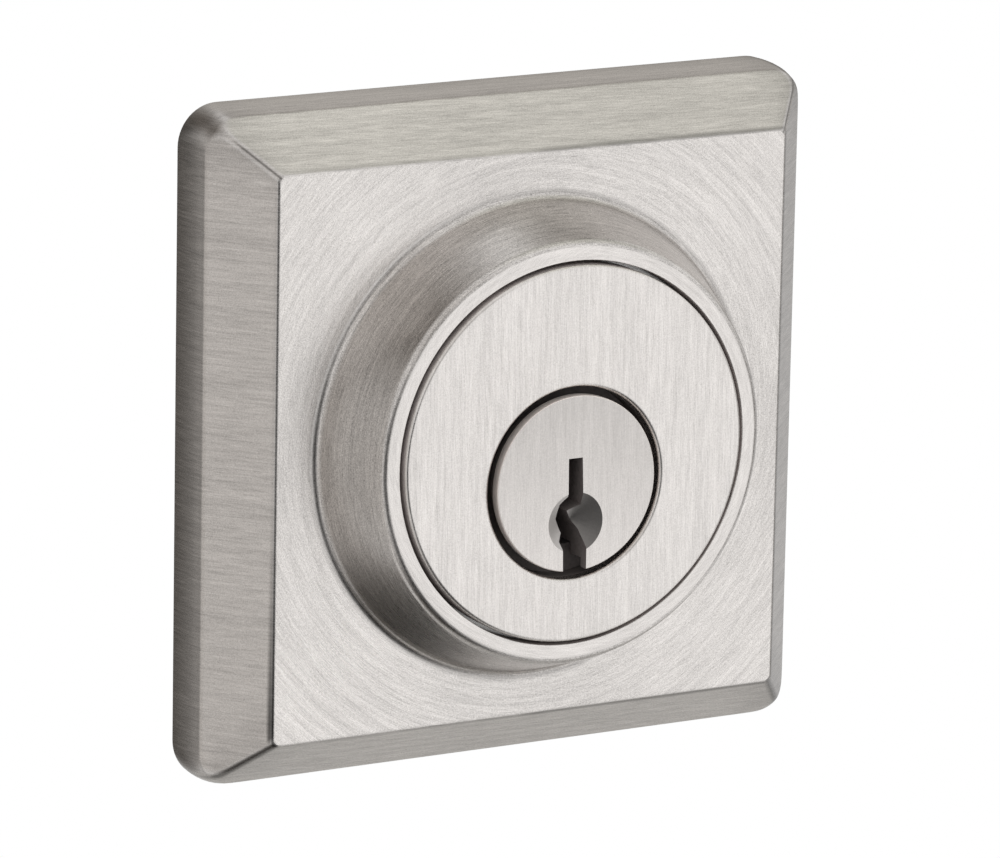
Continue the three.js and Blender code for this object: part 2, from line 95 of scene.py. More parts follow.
def meshObject(name, verts, faces, smooth=True):
    mesh = bpy.data.meshes.new(name)
    mesh.from_pydata([Vector(v) * mm for v in verts], [], faces)
    piece = newObject(name, mesh)
    for face in mesh.polygons:
        face.use_smooth = smooth
    return piece


def faceOutwards(piece):
    work = bmesh.new()
    work.from_mesh(piece.data)
    bmesh.ops.recalc_face_normals(work, faces=work.faces)
    work.to_mesh(piece.data)
    work.free()
    return piece


def ringLoft(name, rings):
    # rings of equal length, joined one to the next and the last to the first
    size = len(rings[0])
    verts = [point for ring in rings for point in ring]
    faces = []
    for i in range(len(rings)):
        j = (i + 1) % len(rings)
        for k in range(size):
            m = (k + 1) % size
            faces.append((i * size + k, i * size + m, j * size + m, j * size + k))
    return faceOutwards(meshObject(name, verts, faces))


def circle(radius, y, sides, centre=(0, 0)):
    return [(centre[0] + radius * math.cos(a), y, centre[1] + radius * math.sin(a))
            for a in around(sides)]


def turnedPiece(name, profile, centre=(0, 0), sides=96):
    # profile points (radius, y) round the Y axis through centre; radius 0 ends become poles
    verts, faces, starts = [], [], []
    for radius, y in profile:
        starts.append((len(verts), radius > 1e-6))
        if radius > 1e-6:
            verts += circle(radius, y, sides, centre)
        else:
            verts.append((centre[0], y, centre[1]))
    solidEnds = profile[0][0] < 1e-6 and profile[-1][0] < 1e-6
    for i in range(len(profile) - (1 if solidEnds else 0)):
        (a, aRound), (b, bRound) = starts[i], starts[(i + 1) % len(profile)]
        for k in range(sides):
            m = (k + 1) % sides
            if aRound and bRound:
                faces.append((a + k, a + m, b + m, b + k))
            elif bRound:
                faces.append((a, b + m, b + k))
            elif aRound:
                faces.append((a + k, a + m, b))
    return faceOutwards(meshObject(name, verts, faces))


def rod(name, radius, low, high, centre=(0, 0), sides=48):
    return turnedPiece(name, [(0, low), (radius, low), (radius, high), (0, high)], centre, sides)


def prism(name, outline, front, back):
    # outline points (x, z), front and back in y
    count = len(outline)
    verts = [(x, front, z) for x, z in outline] + [(x, back, z) for x, z in outline]
    faces = [tuple(range(count)), tuple(reversed(range(count, 2 * count)))]
    for k in range(count):
        m = (k + 1) % count
        faces.append((k, k + count, m + count, m))
    return faceOutwards(meshObject(name, verts, faces, smooth=False))


def cut(piece, tools, operation="DIFFERENCE"):
    for tool in tools:
        modifier = piece.modifiers.new("cut", "BOOLEAN")
        modifier.operation = operation
        modifier.solver = "EXACT"
        modifier.object = tool
        bakeModifiers(piece)
        bpy.data.objects.remove(tool)
    return piece


def bakeModifiers(piece):
    bpy.context.view_layer.update()
    evaluated = piece.evaluated_get(bpy.context.evaluated_depsgraph_get())
    mesh = bpy.data.meshes.new_from_object(evaluated)
    piece.modifiers.clear()
    old = piece.data
    piece.data = mesh
    mesh.name = old.name
    bpy.data.meshes.remove(old)
    return piece


def softEdges(piece, angle=32):
    # smooth shading that stops at edges sharper than angle
    for face in piece.data.polygons:
        face.use_smooth = True
    piece.data.set_sharp_from_angle(angle=math.radians(angle))
    return piece


def breakEdges(piece, width, angle=32):
    # a narrow flat along every edge sharper than angle
    modifier = piece.modifiers.new("break", "BEVEL")
    modifier.width = width * mm
    modifier.segments = 1
    modifier.limit_method = "ANGLE"
    modifier.angle_limit = math.radians(angle)
    return softEdges(bakeModifiers(piece), 25)


def joined(name, pieces):
    mesh = bpy.data.meshes.new(name)
    work = bmesh.new()
    for piece in pieces:
        order = []
        for material in piece.data.materials:
            if material.name not in mesh.materials:
                mesh.materials.append(material)
            order.append(mesh.materials.find(material.name))
        for face in piece.data.polygons:
            if order:
                face.material_index = order[min(face.material_index, len(order) - 1)]
        work.from_mesh(piece.data)
    work.to_mesh(mesh)
    work.free()
    whole = newObject(name, mesh)
    for piece in pieces:
        bpy.data.objects.remove(piece)
    return whole


def painted(piece, *materials):
    piece.data.materials.clear()
    for material in materials:
        piece.data.materials.append(material)
    return piece


def moved(piece, x=0, y=0, z=0, turn=0):
    # turns about X and shifts the mesh itself, so that the object stays at the origin
    piece.data.transform(Matrix.Translation(Vector((x, y, z)) * mm)
                         @ Matrix.Rotation(math.radians(turn), 4, "X"))
    return piece


def block(name, low, high):
    (x0, y0, z0), (x1, y1, z1) = low, high
    return prism(name, [(x0, z0), (x1, z0), (x1, z1), (x0, z1)], y0, y1)


def uprightTurned(name, profile, sides=64):
    # profile points (radius, height) round the Z axis
    return moved(turnedPiece(name, profile, (0, 0), sides), turn=90)


def place(piece, body, replaced):
    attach(piece, body)
    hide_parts(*replaced)
    return piece


# metals: colour, roughness and the strengths of brushing, specks, clouds, grit and pits. brushing
# and casting hold what they share: noise scales, with fine across the hairlines and long along them,
# and the usual strengths

metals = {
    "satinNickel": {"colour": (0.672, 0.643, 0.620), "roughness": 0.27, "streak": 0.28, "speck": 0.27,
                    "paintedSheen": 0.05},
    "bevelNickel": {"colour": (0.672, 0.643, 0.620), "roughness": 0.27, "streak": 0.28, "speck": 0.20},
    "brightNickel": {"colour": (0.722, 0.690, 0.666), "roughness": 0.27, "streak": 0.24, "speck": 0.13},
    "plugNickel": {"colour": (0.630, 0.600, 0.578), "roughness": 0.25, "streak": 0.15, "speck": 0.09},
    # painted shade: the lead-in's nickel is darker than the disc's
    "leadInNickel": {"colour": (0.44, 0.42, 0.405), "roughness": 0.44, "roughSpread": 0.03,
                     "streak": 0.10, "long": 900},
    "collarNickel": {"colour": (0.590, 0.563, 0.542), "roughness": 0.27, "streak": 0.36,
                     "speck": 0.42},
    # painted light: the flange's nickel is much brighter than the rest, to lift its wall out of the
    # gap's shade
    "flangeNickelPaintedLight": {"colour": (0.96, 0.90, 0.865), "roughness": 0.66, "streak": 0.12},
    "plugBrass": {"colour": (0.40, 0.31, 0.19), "roughness": 0.34, "streak": 0.14, "stain": 0.05},
    "springSteel": {"colour": (0.52, 0.51, 0.50), "roughness": 0.28, "streak": 0.12, "stain": 0.05},
    "hardenedSteel": {"colour": (0.085, 0.085, 0.092), "roughness": 0.40, "streak": 0.25,
                      "stain": 0.14},
    "platedSteel": {"colour": (0.58, 0.60, 0.62), "roughness": 0.36, "streak": 0.09, "stain": 0.09,
                    "long": 700},
    "screwSteel": {"colour": (0.62, 0.60, 0.52), "roughness": 0.30, "streak": 0.10, "stain": 0.08},
    "pinBrass": {"colour": (0.74, 0.53, 0.26), "roughness": 0.27, "streak": 0.16, "stain": 0.04},
    "driverNickelSilver": {"colour": (0.66, 0.62, 0.53), "roughness": 0.26, "streak": 0.15,
                           "stain": 0.04},
    "capBrass": {"colour": (0.70, 0.49, 0.23), "roughness": 0.31, "streak": 0.15, "stain": 0.07},
    "tailSteel": {"colour": (0.50, 0.51, 0.53), "roughness": 0.33, "streak": 0.14, "stain": 0.07},
    "zincCasting": {"colour": (0.30, 0.295, 0.29), "roughness": 0.50, "grit": 0.12, "stain": 0.10,
                    "pits": 0.30},
}
# painted shade: dark, barely metallic stand-ins for the shade in the gaps, the keyway and the seat in
# front of the housing
paintedShadeLook = {"roughness": 0.62, "grit": 0.20, "stain": 0.12, "pits": 0.20, "metallic": 0.15}
metals["darkenedGap"] = {**paintedShadeLook, "colour": (0.50, 0.455, 0.44)}
metals["darkenedKeyway"] = {**paintedShadeLook, "colour": (0.220, 0.194, 0.188)}
metals["darkenedSeat"] = {**paintedShadeLook, "colour": (0.120, 0.105, 0.101)}
brushing = {"fine": 11000, "long": 420, "arcs": 11.0, "streak": 0.12, "speck": 0.035, "stain": 0.012,
            "roughSpread": 0.12, "bump": 0.14, "cross": 0.45, "crossShift": (5.0, 8.0),
            "crossTilt": 0.07, "crossScale": 0.83, "wideShare": 0.35, "wideScale": 0.21, "slant": 0.5,
            "paintedSheen": 0.0, "paintedSheenLobes": 4.0, "cloudScale": 90.0, "speckScale": 9000.0}
casting = {"gritScale": 3200.0, "cloudScale": 140.0, "pitScale": 1100.0, "pitSize": (0.06, 0.22),
           "roughSpread": (-0.06, 0.08), "bump": 0.45}


class Nodes:
    # a few lines of shorthand for building node trees

    def __init__(self, owner):
        self.tree = getattr(owner, "node_tree", owner)
        self.tree.nodes.clear()

    def add(self, kind, inputs=None, **settings):
        node = self.tree.nodes.new(kind)
        for key, value in settings.items():
            setattr(node, key, value)
        for key, value in (inputs or {}).items():
            if isinstance(value, bpy.types.NodeSocket):
                self.tree.links.new(value, node.inputs[key])
            else:
                node.inputs[key].default_value = value
        return node

    def maths(self, operation, a, b=0.0, c=0.0):
        return self.add("ShaderNodeMath", {0: a, 1: b, 2: c}, operation=operation).outputs[0]

    def times(self, a, b):
        return self.maths("MULTIPLY", a, b)

    def plus(self, a, b):
        return self.maths("ADD", a, b)

    def minus(self, a, b):
        return self.maths("SUBTRACT", a, b)

    def distance(self, a, b):
        return self.maths("SQRT", self.plus(self.times(a, a), self.times(b, b)))

    def vector(self, x, y, z):
        return self.add("ShaderNodeCombineXYZ", {0: x, 1: y, 2: z}).outputs[0]

    def split(self, vector):
        return self.add("ShaderNodeSeparateXYZ", {0: vector}).outputs

    def objectSpot(self):
        return self.add("ShaderNodeTexCoord").outputs["Object"]

    def noise(self, coords, scale=1.0, detail=2.0, rough=0.5):
        node = self.add("ShaderNodeTexNoise", {"Vector": coords, "Scale": scale, "Detail": detail,
                                               "Roughness": rough})
        return node.outputs["Fac"]

    def spread(self, value, fromLow, fromHigh, toLow, toHigh):
        node = self.add("ShaderNodeMapRange", {0: value, 1: fromLow, 2: fromHigh, 3: toLow, 4: toHigh})
        return node.outputs[0]


def newMaterial(name):
    material = bpy.data.materials.new(name)
    material.use_nodes = True
    return material, Nodes(material)


def grainCoords(nodes, grain, look, centre, tilt=0.0):
    # coordinates in which the brushing runs along one long, low-frequency direction
    fine, long = look["fine"], look["long"]
    x, y, z = nodes.split(nodes.objectSpot())
    x = nodes.minus(x, centre[0] * mm)
    z = nodes.minus(z, centre[1] * mm)
    if grain in ("rings", "turned"):
        radius = nodes.distance(x, z)
        turnX = nodes.times(nodes.maths("DIVIDE", x, radius), look["arcs"])
        turnZ = nodes.times(nodes.maths("DIVIDE", z, radius), look["arcs"])
        if grain == "rings":  # on a flat face
            return nodes.vector(turnX, nodes.times(radius, fine), turnZ)
        along = nodes.times(nodes.plus(y, nodes.times(radius, look["slant"])), fine)
        return nodes.vector(turnX, along, turnZ)
    scales = {"upright": (fine, fine, long), "level": (long, long, fine), "across": (long, fine, long),
              "deep": (fine, long, fine)}[grain]
    if grain == "upright":
        x = nodes.maths("MULTIPLY_ADD", z, tilt, x)
    if grain == "level":
        z = nodes.maths("MULTIPLY_ADD", x, tilt, z)
    if grain == "across":
        y = nodes.maths("MULTIPLY_ADD", x, tilt, y)
    return nodes.vector(*[nodes.times(part, scale) for part, scale in zip((x, y, z), scales)])


def metalShader(nodes, look, tone, rough, height, bump):
    colour = nodes.add("ShaderNodeVectorMath", {0: look["colour"], "Scale": tone}, operation="SCALE")
    relief = nodes.add("ShaderNodeBump", {"Strength": bump, "Distance": 0.00005, "Height": height})
    shader = nodes.add("ShaderNodeBsdfPrincipled", {
        "Base Color": colour.outputs[0], "Metallic": look.get("metallic", 1.0), "Roughness": rough,
        "Normal": relief.outputs[0]})
    nodes.add("ShaderNodeOutputMaterial", {0: shader.outputs[0]})


def brushedMetal(name, metal, grain="upright", centre=(0, 0), shade=None):
    # shade gives a factor for the tone from the place on the piece
    look = {**brushing, **metals[metal]}
    material, nodes = newMaterial(name)
    coords = grainCoords(nodes, grain, look, centre)
    shift = look["crossShift"] if grain == "rings" else (0, 0)
    crossing = grainCoords(nodes, grain, look, (centre[0] + shift[0], centre[1] + shift[1]),
                           look["crossTilt"])
    first = nodes.noise(coords, 1.0, 3.0, 0.6)
    second = nodes.noise(crossing, look["crossScale"], 3.0, 0.6)
    cross = look["cross"]
    hair = nodes.maths("MULTIPLY_ADD", second, cross, nodes.times(first, 1 - cross))
    wide = nodes.noise(coords, look["wideScale"], 2.0, 0.5)
    spot = nodes.objectSpot()
    cloud = nodes.noise(spot, look["cloudScale"], 2.0, 0.5)
    speck = nodes.noise(spot, look["speckScale"], 1.0, 0.5)
    tone = nodes.spread(hair, 0.25, 0.75, 1 - look["streak"], 1 + look["streak"])
    for value, edge, strength in ((wide, 0.25, look["streak"] * look["wideShare"]),
                                  (cloud, 0.3, look["stain"]), (speck, 0.2, look["speck"])):
        tone = nodes.plus(tone, nodes.spread(value, edge, 1 - edge, -strength, strength))
    # painted sheen: ring-brushed metal is darker along the axes and lighter along the diagonals
    if grain == "rings" and look["paintedSheen"]:
        x, _, z = nodes.split(spot)
        spin = nodes.times(nodes.maths("ARCTAN2", z, x), look["paintedSheenLobes"])
        tone = nodes.minus(tone, nodes.times(nodes.maths("COSINE", spin), look["paintedSheen"]))
    if shade:
        tone = nodes.times(tone, shade(nodes, spot))
    rough, spread = look["roughness"], look["roughSpread"]
    roughness = nodes.spread(hair, 0.2, 0.8, rough - spread / 2, rough + spread / 2)
    metalShader(nodes, look, tone, roughness, hair, look["bump"])
    return material


def castMetal(name, metal):
    # as-cast skin: fine grit, soft clouds and scattered pits
    look = {**casting, **metals[metal]}
    material, nodes = newMaterial(name)
    spot = nodes.objectSpot()
    grit = nodes.noise(spot, look["gritScale"], 4.0, 0.6)
    cloud = nodes.noise(spot, look["cloudScale"], 3.0, 0.55)
    cells = nodes.add("ShaderNodeTexVoronoi", {"Vector": spot, "Scale": look["pitScale"]})
    pits = nodes.spread(cells.outputs["Distance"], *look["pitSize"], 1.0, 0.0)
    tone = nodes.plus(nodes.spread(grit, 0.25, 0.75, 1 - look["grit"], 1 + look["grit"]),
                      nodes.spread(cloud, 0.3, 0.7, -look["stain"], look["stain"]))
    tone = nodes.minus(tone, nodes.times(pits, look["pits"]))
    rough = nodes.spread(cloud, 0.3, 0.7, *(look["roughness"] + v for v in look["roughSpread"]))
    metalShader(nodes, look, tone, rough, nodes.minus(grit, pits), look["bump"])
    return material


rimMetal = brushedMetal("satinNickelRim", "brightNickel", "rings")
faceMetal = brushedMetal("satinNickelUpright", "brightNickel", "upright")
zincMetal = castMetal("zincCasting", "zincCasting")
gapShade = castMetal("darkenedGap", "darkenedGap")
keywayShade = castMetal("darkenedKeyway", "darkenedKeyway")
print("metals:", len(bpy.data.materials))


# geometry node trees: a coil for springs and threads, and a set of screws

def geometryTree(name, inputs):
    tree = bpy.data.node_groups.new(name, "GeometryNodeTree")
    for label, kind, value in inputs:
        socket = tree.interface.new_socket(label, in_out="INPUT", socket_type="NodeSocket" + kind)
        if value is not None:
            socket.default_value = value
    tree.interface.new_socket("Geometry", in_out="OUTPUT", socket_type="NodeSocketGeometry")
    nodes = Nodes(tree)
    return nodes, nodes.add("NodeGroupInput").outputs


def finishTree(nodes, geometry, material):
    real = nodes.add("GeometryNodeRealizeInstances", {0: geometry})
    smooth = nodes.add("GeometryNodeSetShadeSmooth", {0: real.outputs[0]})
    coat = nodes.add("GeometryNodeSetMaterial", {0: smooth.outputs[0], "Material": material})
    nodes.add("NodeGroupOutput", {0: coat.outputs[0]})
    return nodes.tree


def coilTree():
    # a wire wound up the Z axis; the end turns lie close together
    nodes, given = geometryTree("coil", [
        ("Coil Radius", "Float", 0.0013), ("Wire Radius", "Float", 0.00017), ("Height", "Float", 0.005),
        ("Turns", "Float", 6.0), ("End Turns", "Float", 1.0), ("Steps", "Int", 28),
        ("Wire Sides", "Int", 8), ("Material", "Material", None)])
    line = nodes.add("GeometryNodeCurveSpiral", {
        "Resolution": given["Steps"], "Rotations": given["Turns"],
        "Start Radius": given["Coil Radius"], "End Radius": given["Coil Radius"], "Height": 1.0})
    x, y, share = nodes.split(nodes.add("GeometryNodeInputPosition").outputs[0])
    endShare = nodes.maths("DIVIDE", given["End Turns"], given["Turns"])
    lastShare = nodes.minus(1.0, endShare)
    rise = nodes.times(nodes.times(given["Wire Radius"], 2.1), given["End Turns"])
    ends = nodes.maths("MULTIPLY_ADD", rise, 2.0, nodes.times(given["Wire Radius"], 2.0))
    middle = nodes.minus(given["Height"], ends)
    height = nodes.plus(given["Wire Radius"], nodes.spread(share, 0.0, endShare, 0.0, rise))
    height = nodes.plus(height, nodes.spread(share, endShare, lastShare, 0.0, middle))
    height = nodes.plus(height, nodes.spread(share, lastShare, 1.0, 0.0, rise))
    path = nodes.add("GeometryNodeSetPosition", {
        "Geometry": line.outputs[0], "Position": nodes.vector(x, y, height)})
    ring = nodes.add("GeometryNodeCurvePrimitiveCircle", {
        "Resolution": given["Wire Sides"], "Radius": given["Wire Radius"]})
    wire = nodes.add("GeometryNodeCurveToMesh", {
        "Curve": path.outputs[0], "Profile Curve": ring.outputs[0], "Fill Caps": True})
    return finishTree(nodes, wire.outputs[0], given["Material"])


def screwSetTree():
    # four screws at the corners of a square in the XZ plane, each turned by its own angle
    nodes, given = geometryTree("screwSet", [
        ("Screw", "Object", None), ("Spacing", "Float", 0.03316), ("Most Turn", "Float", math.pi),
        ("Seed", "Int", 7), ("Material", "Material", None)])
    grid = nodes.add("GeometryNodeMeshGrid", {
        "Size X": given["Spacing"], "Size Y": given["Spacing"], "Vertices X": 2, "Vertices Y": 2})
    stood = nodes.add("GeometryNodeTransform", {
        "Geometry": grid.outputs[0], "Rotation": (math.pi / 2, 0, 0)})
    source = nodes.add("GeometryNodeObjectInfo", {"Object": given["Screw"], "As Instance": True})
    spin = nodes.add("FunctionNodeRandomValue", {2: 0.0, 3: given["Most Turn"], "Seed": given["Seed"]})
    turn = nodes.vector(0.0, spin.outputs[1], 0.0)
    screws = nodes.add("GeometryNodeInstanceOnPoints", {
        "Points": stood.outputs[0], "Instance": source.outputs["Geometry"], "Rotation": turn})
    return finishTree(nodes, screws.outputs[0], given["Material"])


def grown(name, tree, values):
    piece = meshObject(name, [(0, 0, 0)], [])
    modifier = piece.modifiers.new("grow", "NODES")
    modifier.node_group = tree
    for item in tree.interface.items_tree:
        if item.in_out == "INPUT" and item.name in values:
            modifier[item.identifier] = values[item.name]
    piece.update_tag()
    return faceOutwards(bakeModifiers(piece))


coilNodes = coilTree()
screwSetNodes = screwSetTree()


def coil(name, radius, wire, height, turns, endTurns, material, sides=8):
    return grown(name, coilNodes, {
        "Coil Radius": radius * mm, "Wire Radius": wire * mm, "Height": height * mm,
        "Turns": float(turns), "End Turns": float(endTurns), "Wire Sides": sides,
        "Material": material})


def thread(name, radius, wire, height, turns, material, x=0, y=0, z=0):
    # a coil that lies along Y from the given place
    return moved(moved(coil(name, radius, wire, height, turns, 0.5, material), turn=-90), x=x, y=y, z=z)


# rose: one closed shell, from the sleeve round the front to the hollow back

rose = {
    "half": 31.75, "crease": 31.25, "flat": 26.62, "corner": 2.6, "backCorner": 3.9,
    "flatCorner": 0.7, "cornerFade": 1.6, "creaseMargin": 0.3, "sideY": -4.8, "sideCrown": 0.13,
    "flatY": -10.2, "creaseRound": 0.9, "flatRound": 0.55, "backRound": 0.15,
    "rimY": -17.9, "rim": 19.75, "rimRound": 0.85, "base": 22.45, "baseFillet": 0.95,
    "mouth": 18.0, "mouthRound": 0.1, "lipY": -15.9, "bore": 18.9, "sleeve": 20.9, "sleeveY": -4.2,
    "cavity": 29.05, "cavityY": -8.0, "cavityCorner": 0.9, "wall": 2.2,
    "ribHalf": 0.9, "ribInto": 0.6, "ribBackY": -5.6, "ribRootY": -8.3, "ribEnd": (27.2, 29.3),
    "ribEdge": 0.25, "boss": 2.55, "bossHole": 1.45, "screwAt": 16.58,
    "sideSteps": 40, "cornerSteps": 14, "crownSteps": 8, "ringSpacing": 0.45,
    "melt": 3.2, "meltRounds": 14, "meltInset": 1.1, "meltBackY": -0.2,
    "frontFromY": -10, "footBand": 1.5, "darkRadius": 20, "darkFromY": -12,
}

# painted shade on the bevels and sides: strengths, and the widths in mm over which they fade
paintedEdgeShadeLook = {
    "mitre": 0.62, "mitreWidth": (0.05, 0.26), "mitreEnd": (30.2, 31.0), "lowerMitre": 0.29,
    "lowerShift": 0.16, "upperFade": 1.4, "upperReach": (-60, -30), "besideMitre": 0.17,
    "besideWidth": (0.0, 1.7), "edge": 0.45, "edgeWidth": (0.06, 0.30), "edgeOut": 0.12,
    "leftEdge": 0.4, "leftDown": (-24.0, -4.0), "leftShare": (1.75, 0.4), "leftWider": (0.07, -0.08),
    "corner": 0.20, "cornerReach": (1.5, 6.5), "lowerCorner": 0.25,
}
paintedFootShadeLook = {"radius": 23.0, "shade": 0.24, "width": (0.05, 0.38)}


def paintedEdgeShade(nodes, spot):
    # painted shade: darker along the mitres and the flat's edge, and darker round the corners
    e = paintedEdgeShadeLook
    x, _, z = nodes.split(spot)
    wide, high = nodes.maths("ABSOLUTE", x), nodes.maths("ABSOLUTE", z)
    far = nodes.maths("MAXIMUM", wide, high)
    across = nodes.minus(wide, high)

    # mitres: the lower two are wider and lie a little lower, the top-left one fades out earlier
    shift = nodes.spread(z, -mm, mm, e["lowerShift"] * mm, 0.0)
    off = nodes.maths("ABSOLUTE", nodes.plus(across, shift))
    off = nodes.times(off, nodes.spread(z, -mm, mm, e["lowerMitre"], 1.0))
    early = nodes.spread(nodes.minus(x, z), *metres(e["upperReach"]), e["upperFade"] * mm, 0.0)
    end = nodes.spread(nodes.plus(far, early), *metres(e["mitreEnd"]), 1.0, 0.0)
    mitre = nodes.times(nodes.spread(off, *metres(e["mitreWidth"]), e["mitre"], 0.0), end)
    beside = nodes.times(nodes.spread(off, *metres(e["besideWidth"]), e["besideMitre"], 0.0), end)

    # the flat's edge: on the left it widens and darkens downwards
    left = nodes.times(nodes.spread(across, 0.0, mm, 0.0, 1.0), nodes.spread(x, -mm, mm, 1.0, 0.0))
    down = metres(e["leftDown"])
    wider = nodes.times(left, nodes.spread(z, *down, *metres(e["leftWider"])))
    edge = nodes.maths("ABSOLUTE", nodes.minus(far, (rose["flat"] + e["edgeOut"]) * mm))
    edge = nodes.spread(nodes.minus(edge, wider), *metres(e["edgeWidth"]), e["edge"], 0.0)
    share = nodes.maths("MAXIMUM", nodes.times(left, nodes.spread(z, *down, *e["leftShare"])),
                        nodes.spread(x, -mm, mm, e["leftEdge"], 1.0))
    edge = nodes.times(edge, share)

    # corners: painted shade, the upper two are darker
    away = nodes.distance(nodes.minus(wide, rose["crease"] * mm), nodes.minus(high, rose["crease"] * mm))
    paintedCornerShade = nodes.times(nodes.spread(away, *metres(e["cornerReach"]), e["corner"], 0.0),
                       nodes.spread(z, -mm, mm, e["lowerCorner"], 1.0))
    dark = nodes.maths("MAXIMUM", nodes.maths("MAXIMUM", mitre, beside), edge)
    return nodes.times(nodes.minus(1.0, dark), nodes.minus(1.0, paintedCornerShade))


def paintedFootShade(nodes, spot):
    # painted shade: a fine dark line round the collar's foot
    x, _, z = nodes.split(spot)
    off = nodes.maths("ABSOLUTE", nodes.minus(nodes.distance(x, z), paintedFootShadeLook["radius"] * mm))
    return nodes.spread(off, *metres(paintedFootShadeLook["width"]), 1 - paintedFootShadeLook["shade"], 1.0)


# the flat and the collar carry the painted shade line round the collar's foot
flatMetal = brushedMetal("satinNickelRings", "satinNickel", "rings", shade=paintedFootShade)
collarMetal = brushedMetal("satinNickelTurned", "collarNickel", "turned", shade=paintedFootShade)
# the bevel and side materials carry painted shade along the mitres, the flat's edge and the corners
bevelMetal = brushedMetal("satinNickelLevel", "bevelNickel", "level", shade=paintedEdgeShade)
endMetal = brushedMetal("satinNickelAcross", "bevelNickel", "across", shade=paintedEdgeShade)


def cornerRadius(half, y):
    # the mitre between two bevels is sharp near the flat and opens into the round corner
    r = rose
    if y > r["sideY"] + r["creaseMargin"]:
        share = min(1.0, (y - r["sideY"]) / -r["sideY"])
        return r["corner"] + (r["backCorner"] - r["corner"]) * share
    excess = math.sqrt(2) - 1
    spare = half * math.sqrt(2) - r["flatCorner"] * excess
    limit = r["crease"] * math.sqrt(2) - r["corner"] * excess
    soft = r["cornerFade"]
    # the smaller of limit and spare, blended where they come close
    blend = max(0.0, min(1.0, 0.5 + 0.5 * (limit - spare) / soft))
    reach = limit * (1 - blend) + spare * blend - soft * blend * (1 - blend)
    return max(r["flatCorner"], (half * math.sqrt(2) - reach) / excess)


def squareRing(half, corner, y):
    points = []
    straight = half - corner
    for quarter in range(4):
        turn = Matrix.Rotation(quarter * math.pi / 2, 2)
        for i in range(rose["sideSteps"]):
            points.append(turn @ Vector((half, straight * (2 * i / rose["sideSteps"] - 1))))
        for i in range(rose["cornerSteps"]):
            angle = math.pi / 2 * i / rose["cornerSteps"]
            points.append(turn @ Vector((straight + corner * math.cos(angle),
                                         straight + corner * math.sin(angle))))
    return [(point.x, y, point.y) for point in points]


ringAngles = [math.atan2(z, x) for x, _, z in squareRing(rose["crease"], rose["corner"], 0)]


def roundRing(radius, y):
    return [(radius * math.cos(a), y, radius * math.sin(a)) for a in ringAngles]


def denser(path, spacing):
    # extra points on the long steps of a path
    dense = [path[0]]
    for spot in path[1:]:
        last = dense[-1]
        extra = int(math.dist(last, spot) / spacing)
        for k in range(1, extra + 1):
            dense.append((last[0] + (spot[0] - last[0]) * k / (extra + 1),
                          last[1] + (spot[1] - last[1]) * k / (extra + 1)))
        dense.append(spot)
    return dense


def roseRings():
    # cross-sections in order: sleeve, lip, mouth, rim, taper, flat, bevel, side, back, cavity
    r = rose
    collar = filletPath([
        (r["bore"], r["sleeveY"], 0), (r["bore"], r["lipY"], 0), (r["mouth"], r["lipY"], 0),
        (r["mouth"], r["rimY"], r["mouthRound"]), (r["rim"], r["rimY"], r["rimRound"]),
        (r["base"], r["flatY"], r["baseFillet"]), (r["flat"], r["flatY"], 0),
    ])[:-1]
    side = []
    for k in range(2, r["crownSteps"]):
        t = k / r["crownSteps"]
        side.append((r["crease"] + (r["half"] - r["crease"]) * t + r["sideCrown"] * 4 * t * (1 - t),
                     r["sideY"] * (1 - t), 0))
    outer = filletPath([
        (r["base"] + 2, r["flatY"], 0), (r["flat"], r["flatY"], r["flatRound"]),
        (r["crease"], r["sideY"], r["creaseRound"]), *side, (r["half"], 0, r["backRound"]),
        (r["cavity"], 0, 0)])[1:-1]
    slope = (r["sideY"] - r["flatY"]) / (r["crease"] - r["flat"])
    frontHalf = r["flat"] + r["wall"] / slope - r["wall"] * math.hypot(1, 1 / slope)
    creaseY = r["cavityY"] + (r["cavity"] - frontHalf) * slope
    inside = ((r["cavity"], 0), (r["cavity"], creaseY), (frontHalf, r["cavityY"]))
    rings = [roundRing(radius, y) for radius, y in collar]
    rings += [squareRing(half, cornerRadius(half, y), y) for half, y in denser(outer, r["ringSpacing"])]
    rings += [squareRing(half, r["cavityCorner"], y) for half, y in inside]
    return rings + [roundRing(r["sleeve"], r["cavityY"]), roundRing(r["sleeve"], r["sleeveY"])]


def buildRose():
    r = rose
    shell = ringLoft("rosePlate", roseRings())
    painted(shell, flatMetal, bevelMetal, endMetal, collarMetal, rimMetal, zincMetal, gapShade)
    flat, bevel, end, collar, rim, zinc, gap = range(7)
    for face in shell.data.polygons:
        n, c = face.normal, face.center / mm
        radial = math.hypot(c.x, c.z)
        outward = (n.x * c.x + n.z * c.z) / radial
        if n.y > 0.3 or (outward < -0.3 and n.y > -0.3):  # back and inner faces
            # painted shade: inner faces near the front take the dark gap material
            face.material_index = gap if radial < r["darkRadius"] and c.y < r["darkFromY"] else zinc
        elif n.y < facesFront and c.y < r["frontFromY"]:
            face.material_index = flat if radial > r["base"] else rim
        elif radial < r["base"] + r["footBand"] and c.y < r["flatY"]:
            face.material_index = collar
        else:  # end is for the upper and lower sides
            face.material_index = end if abs(n.z) > 0.9 else bevel
    meltCorners(shell)
    return joined("rosePlate", [softEdges(shell, 50), *roseInside()])


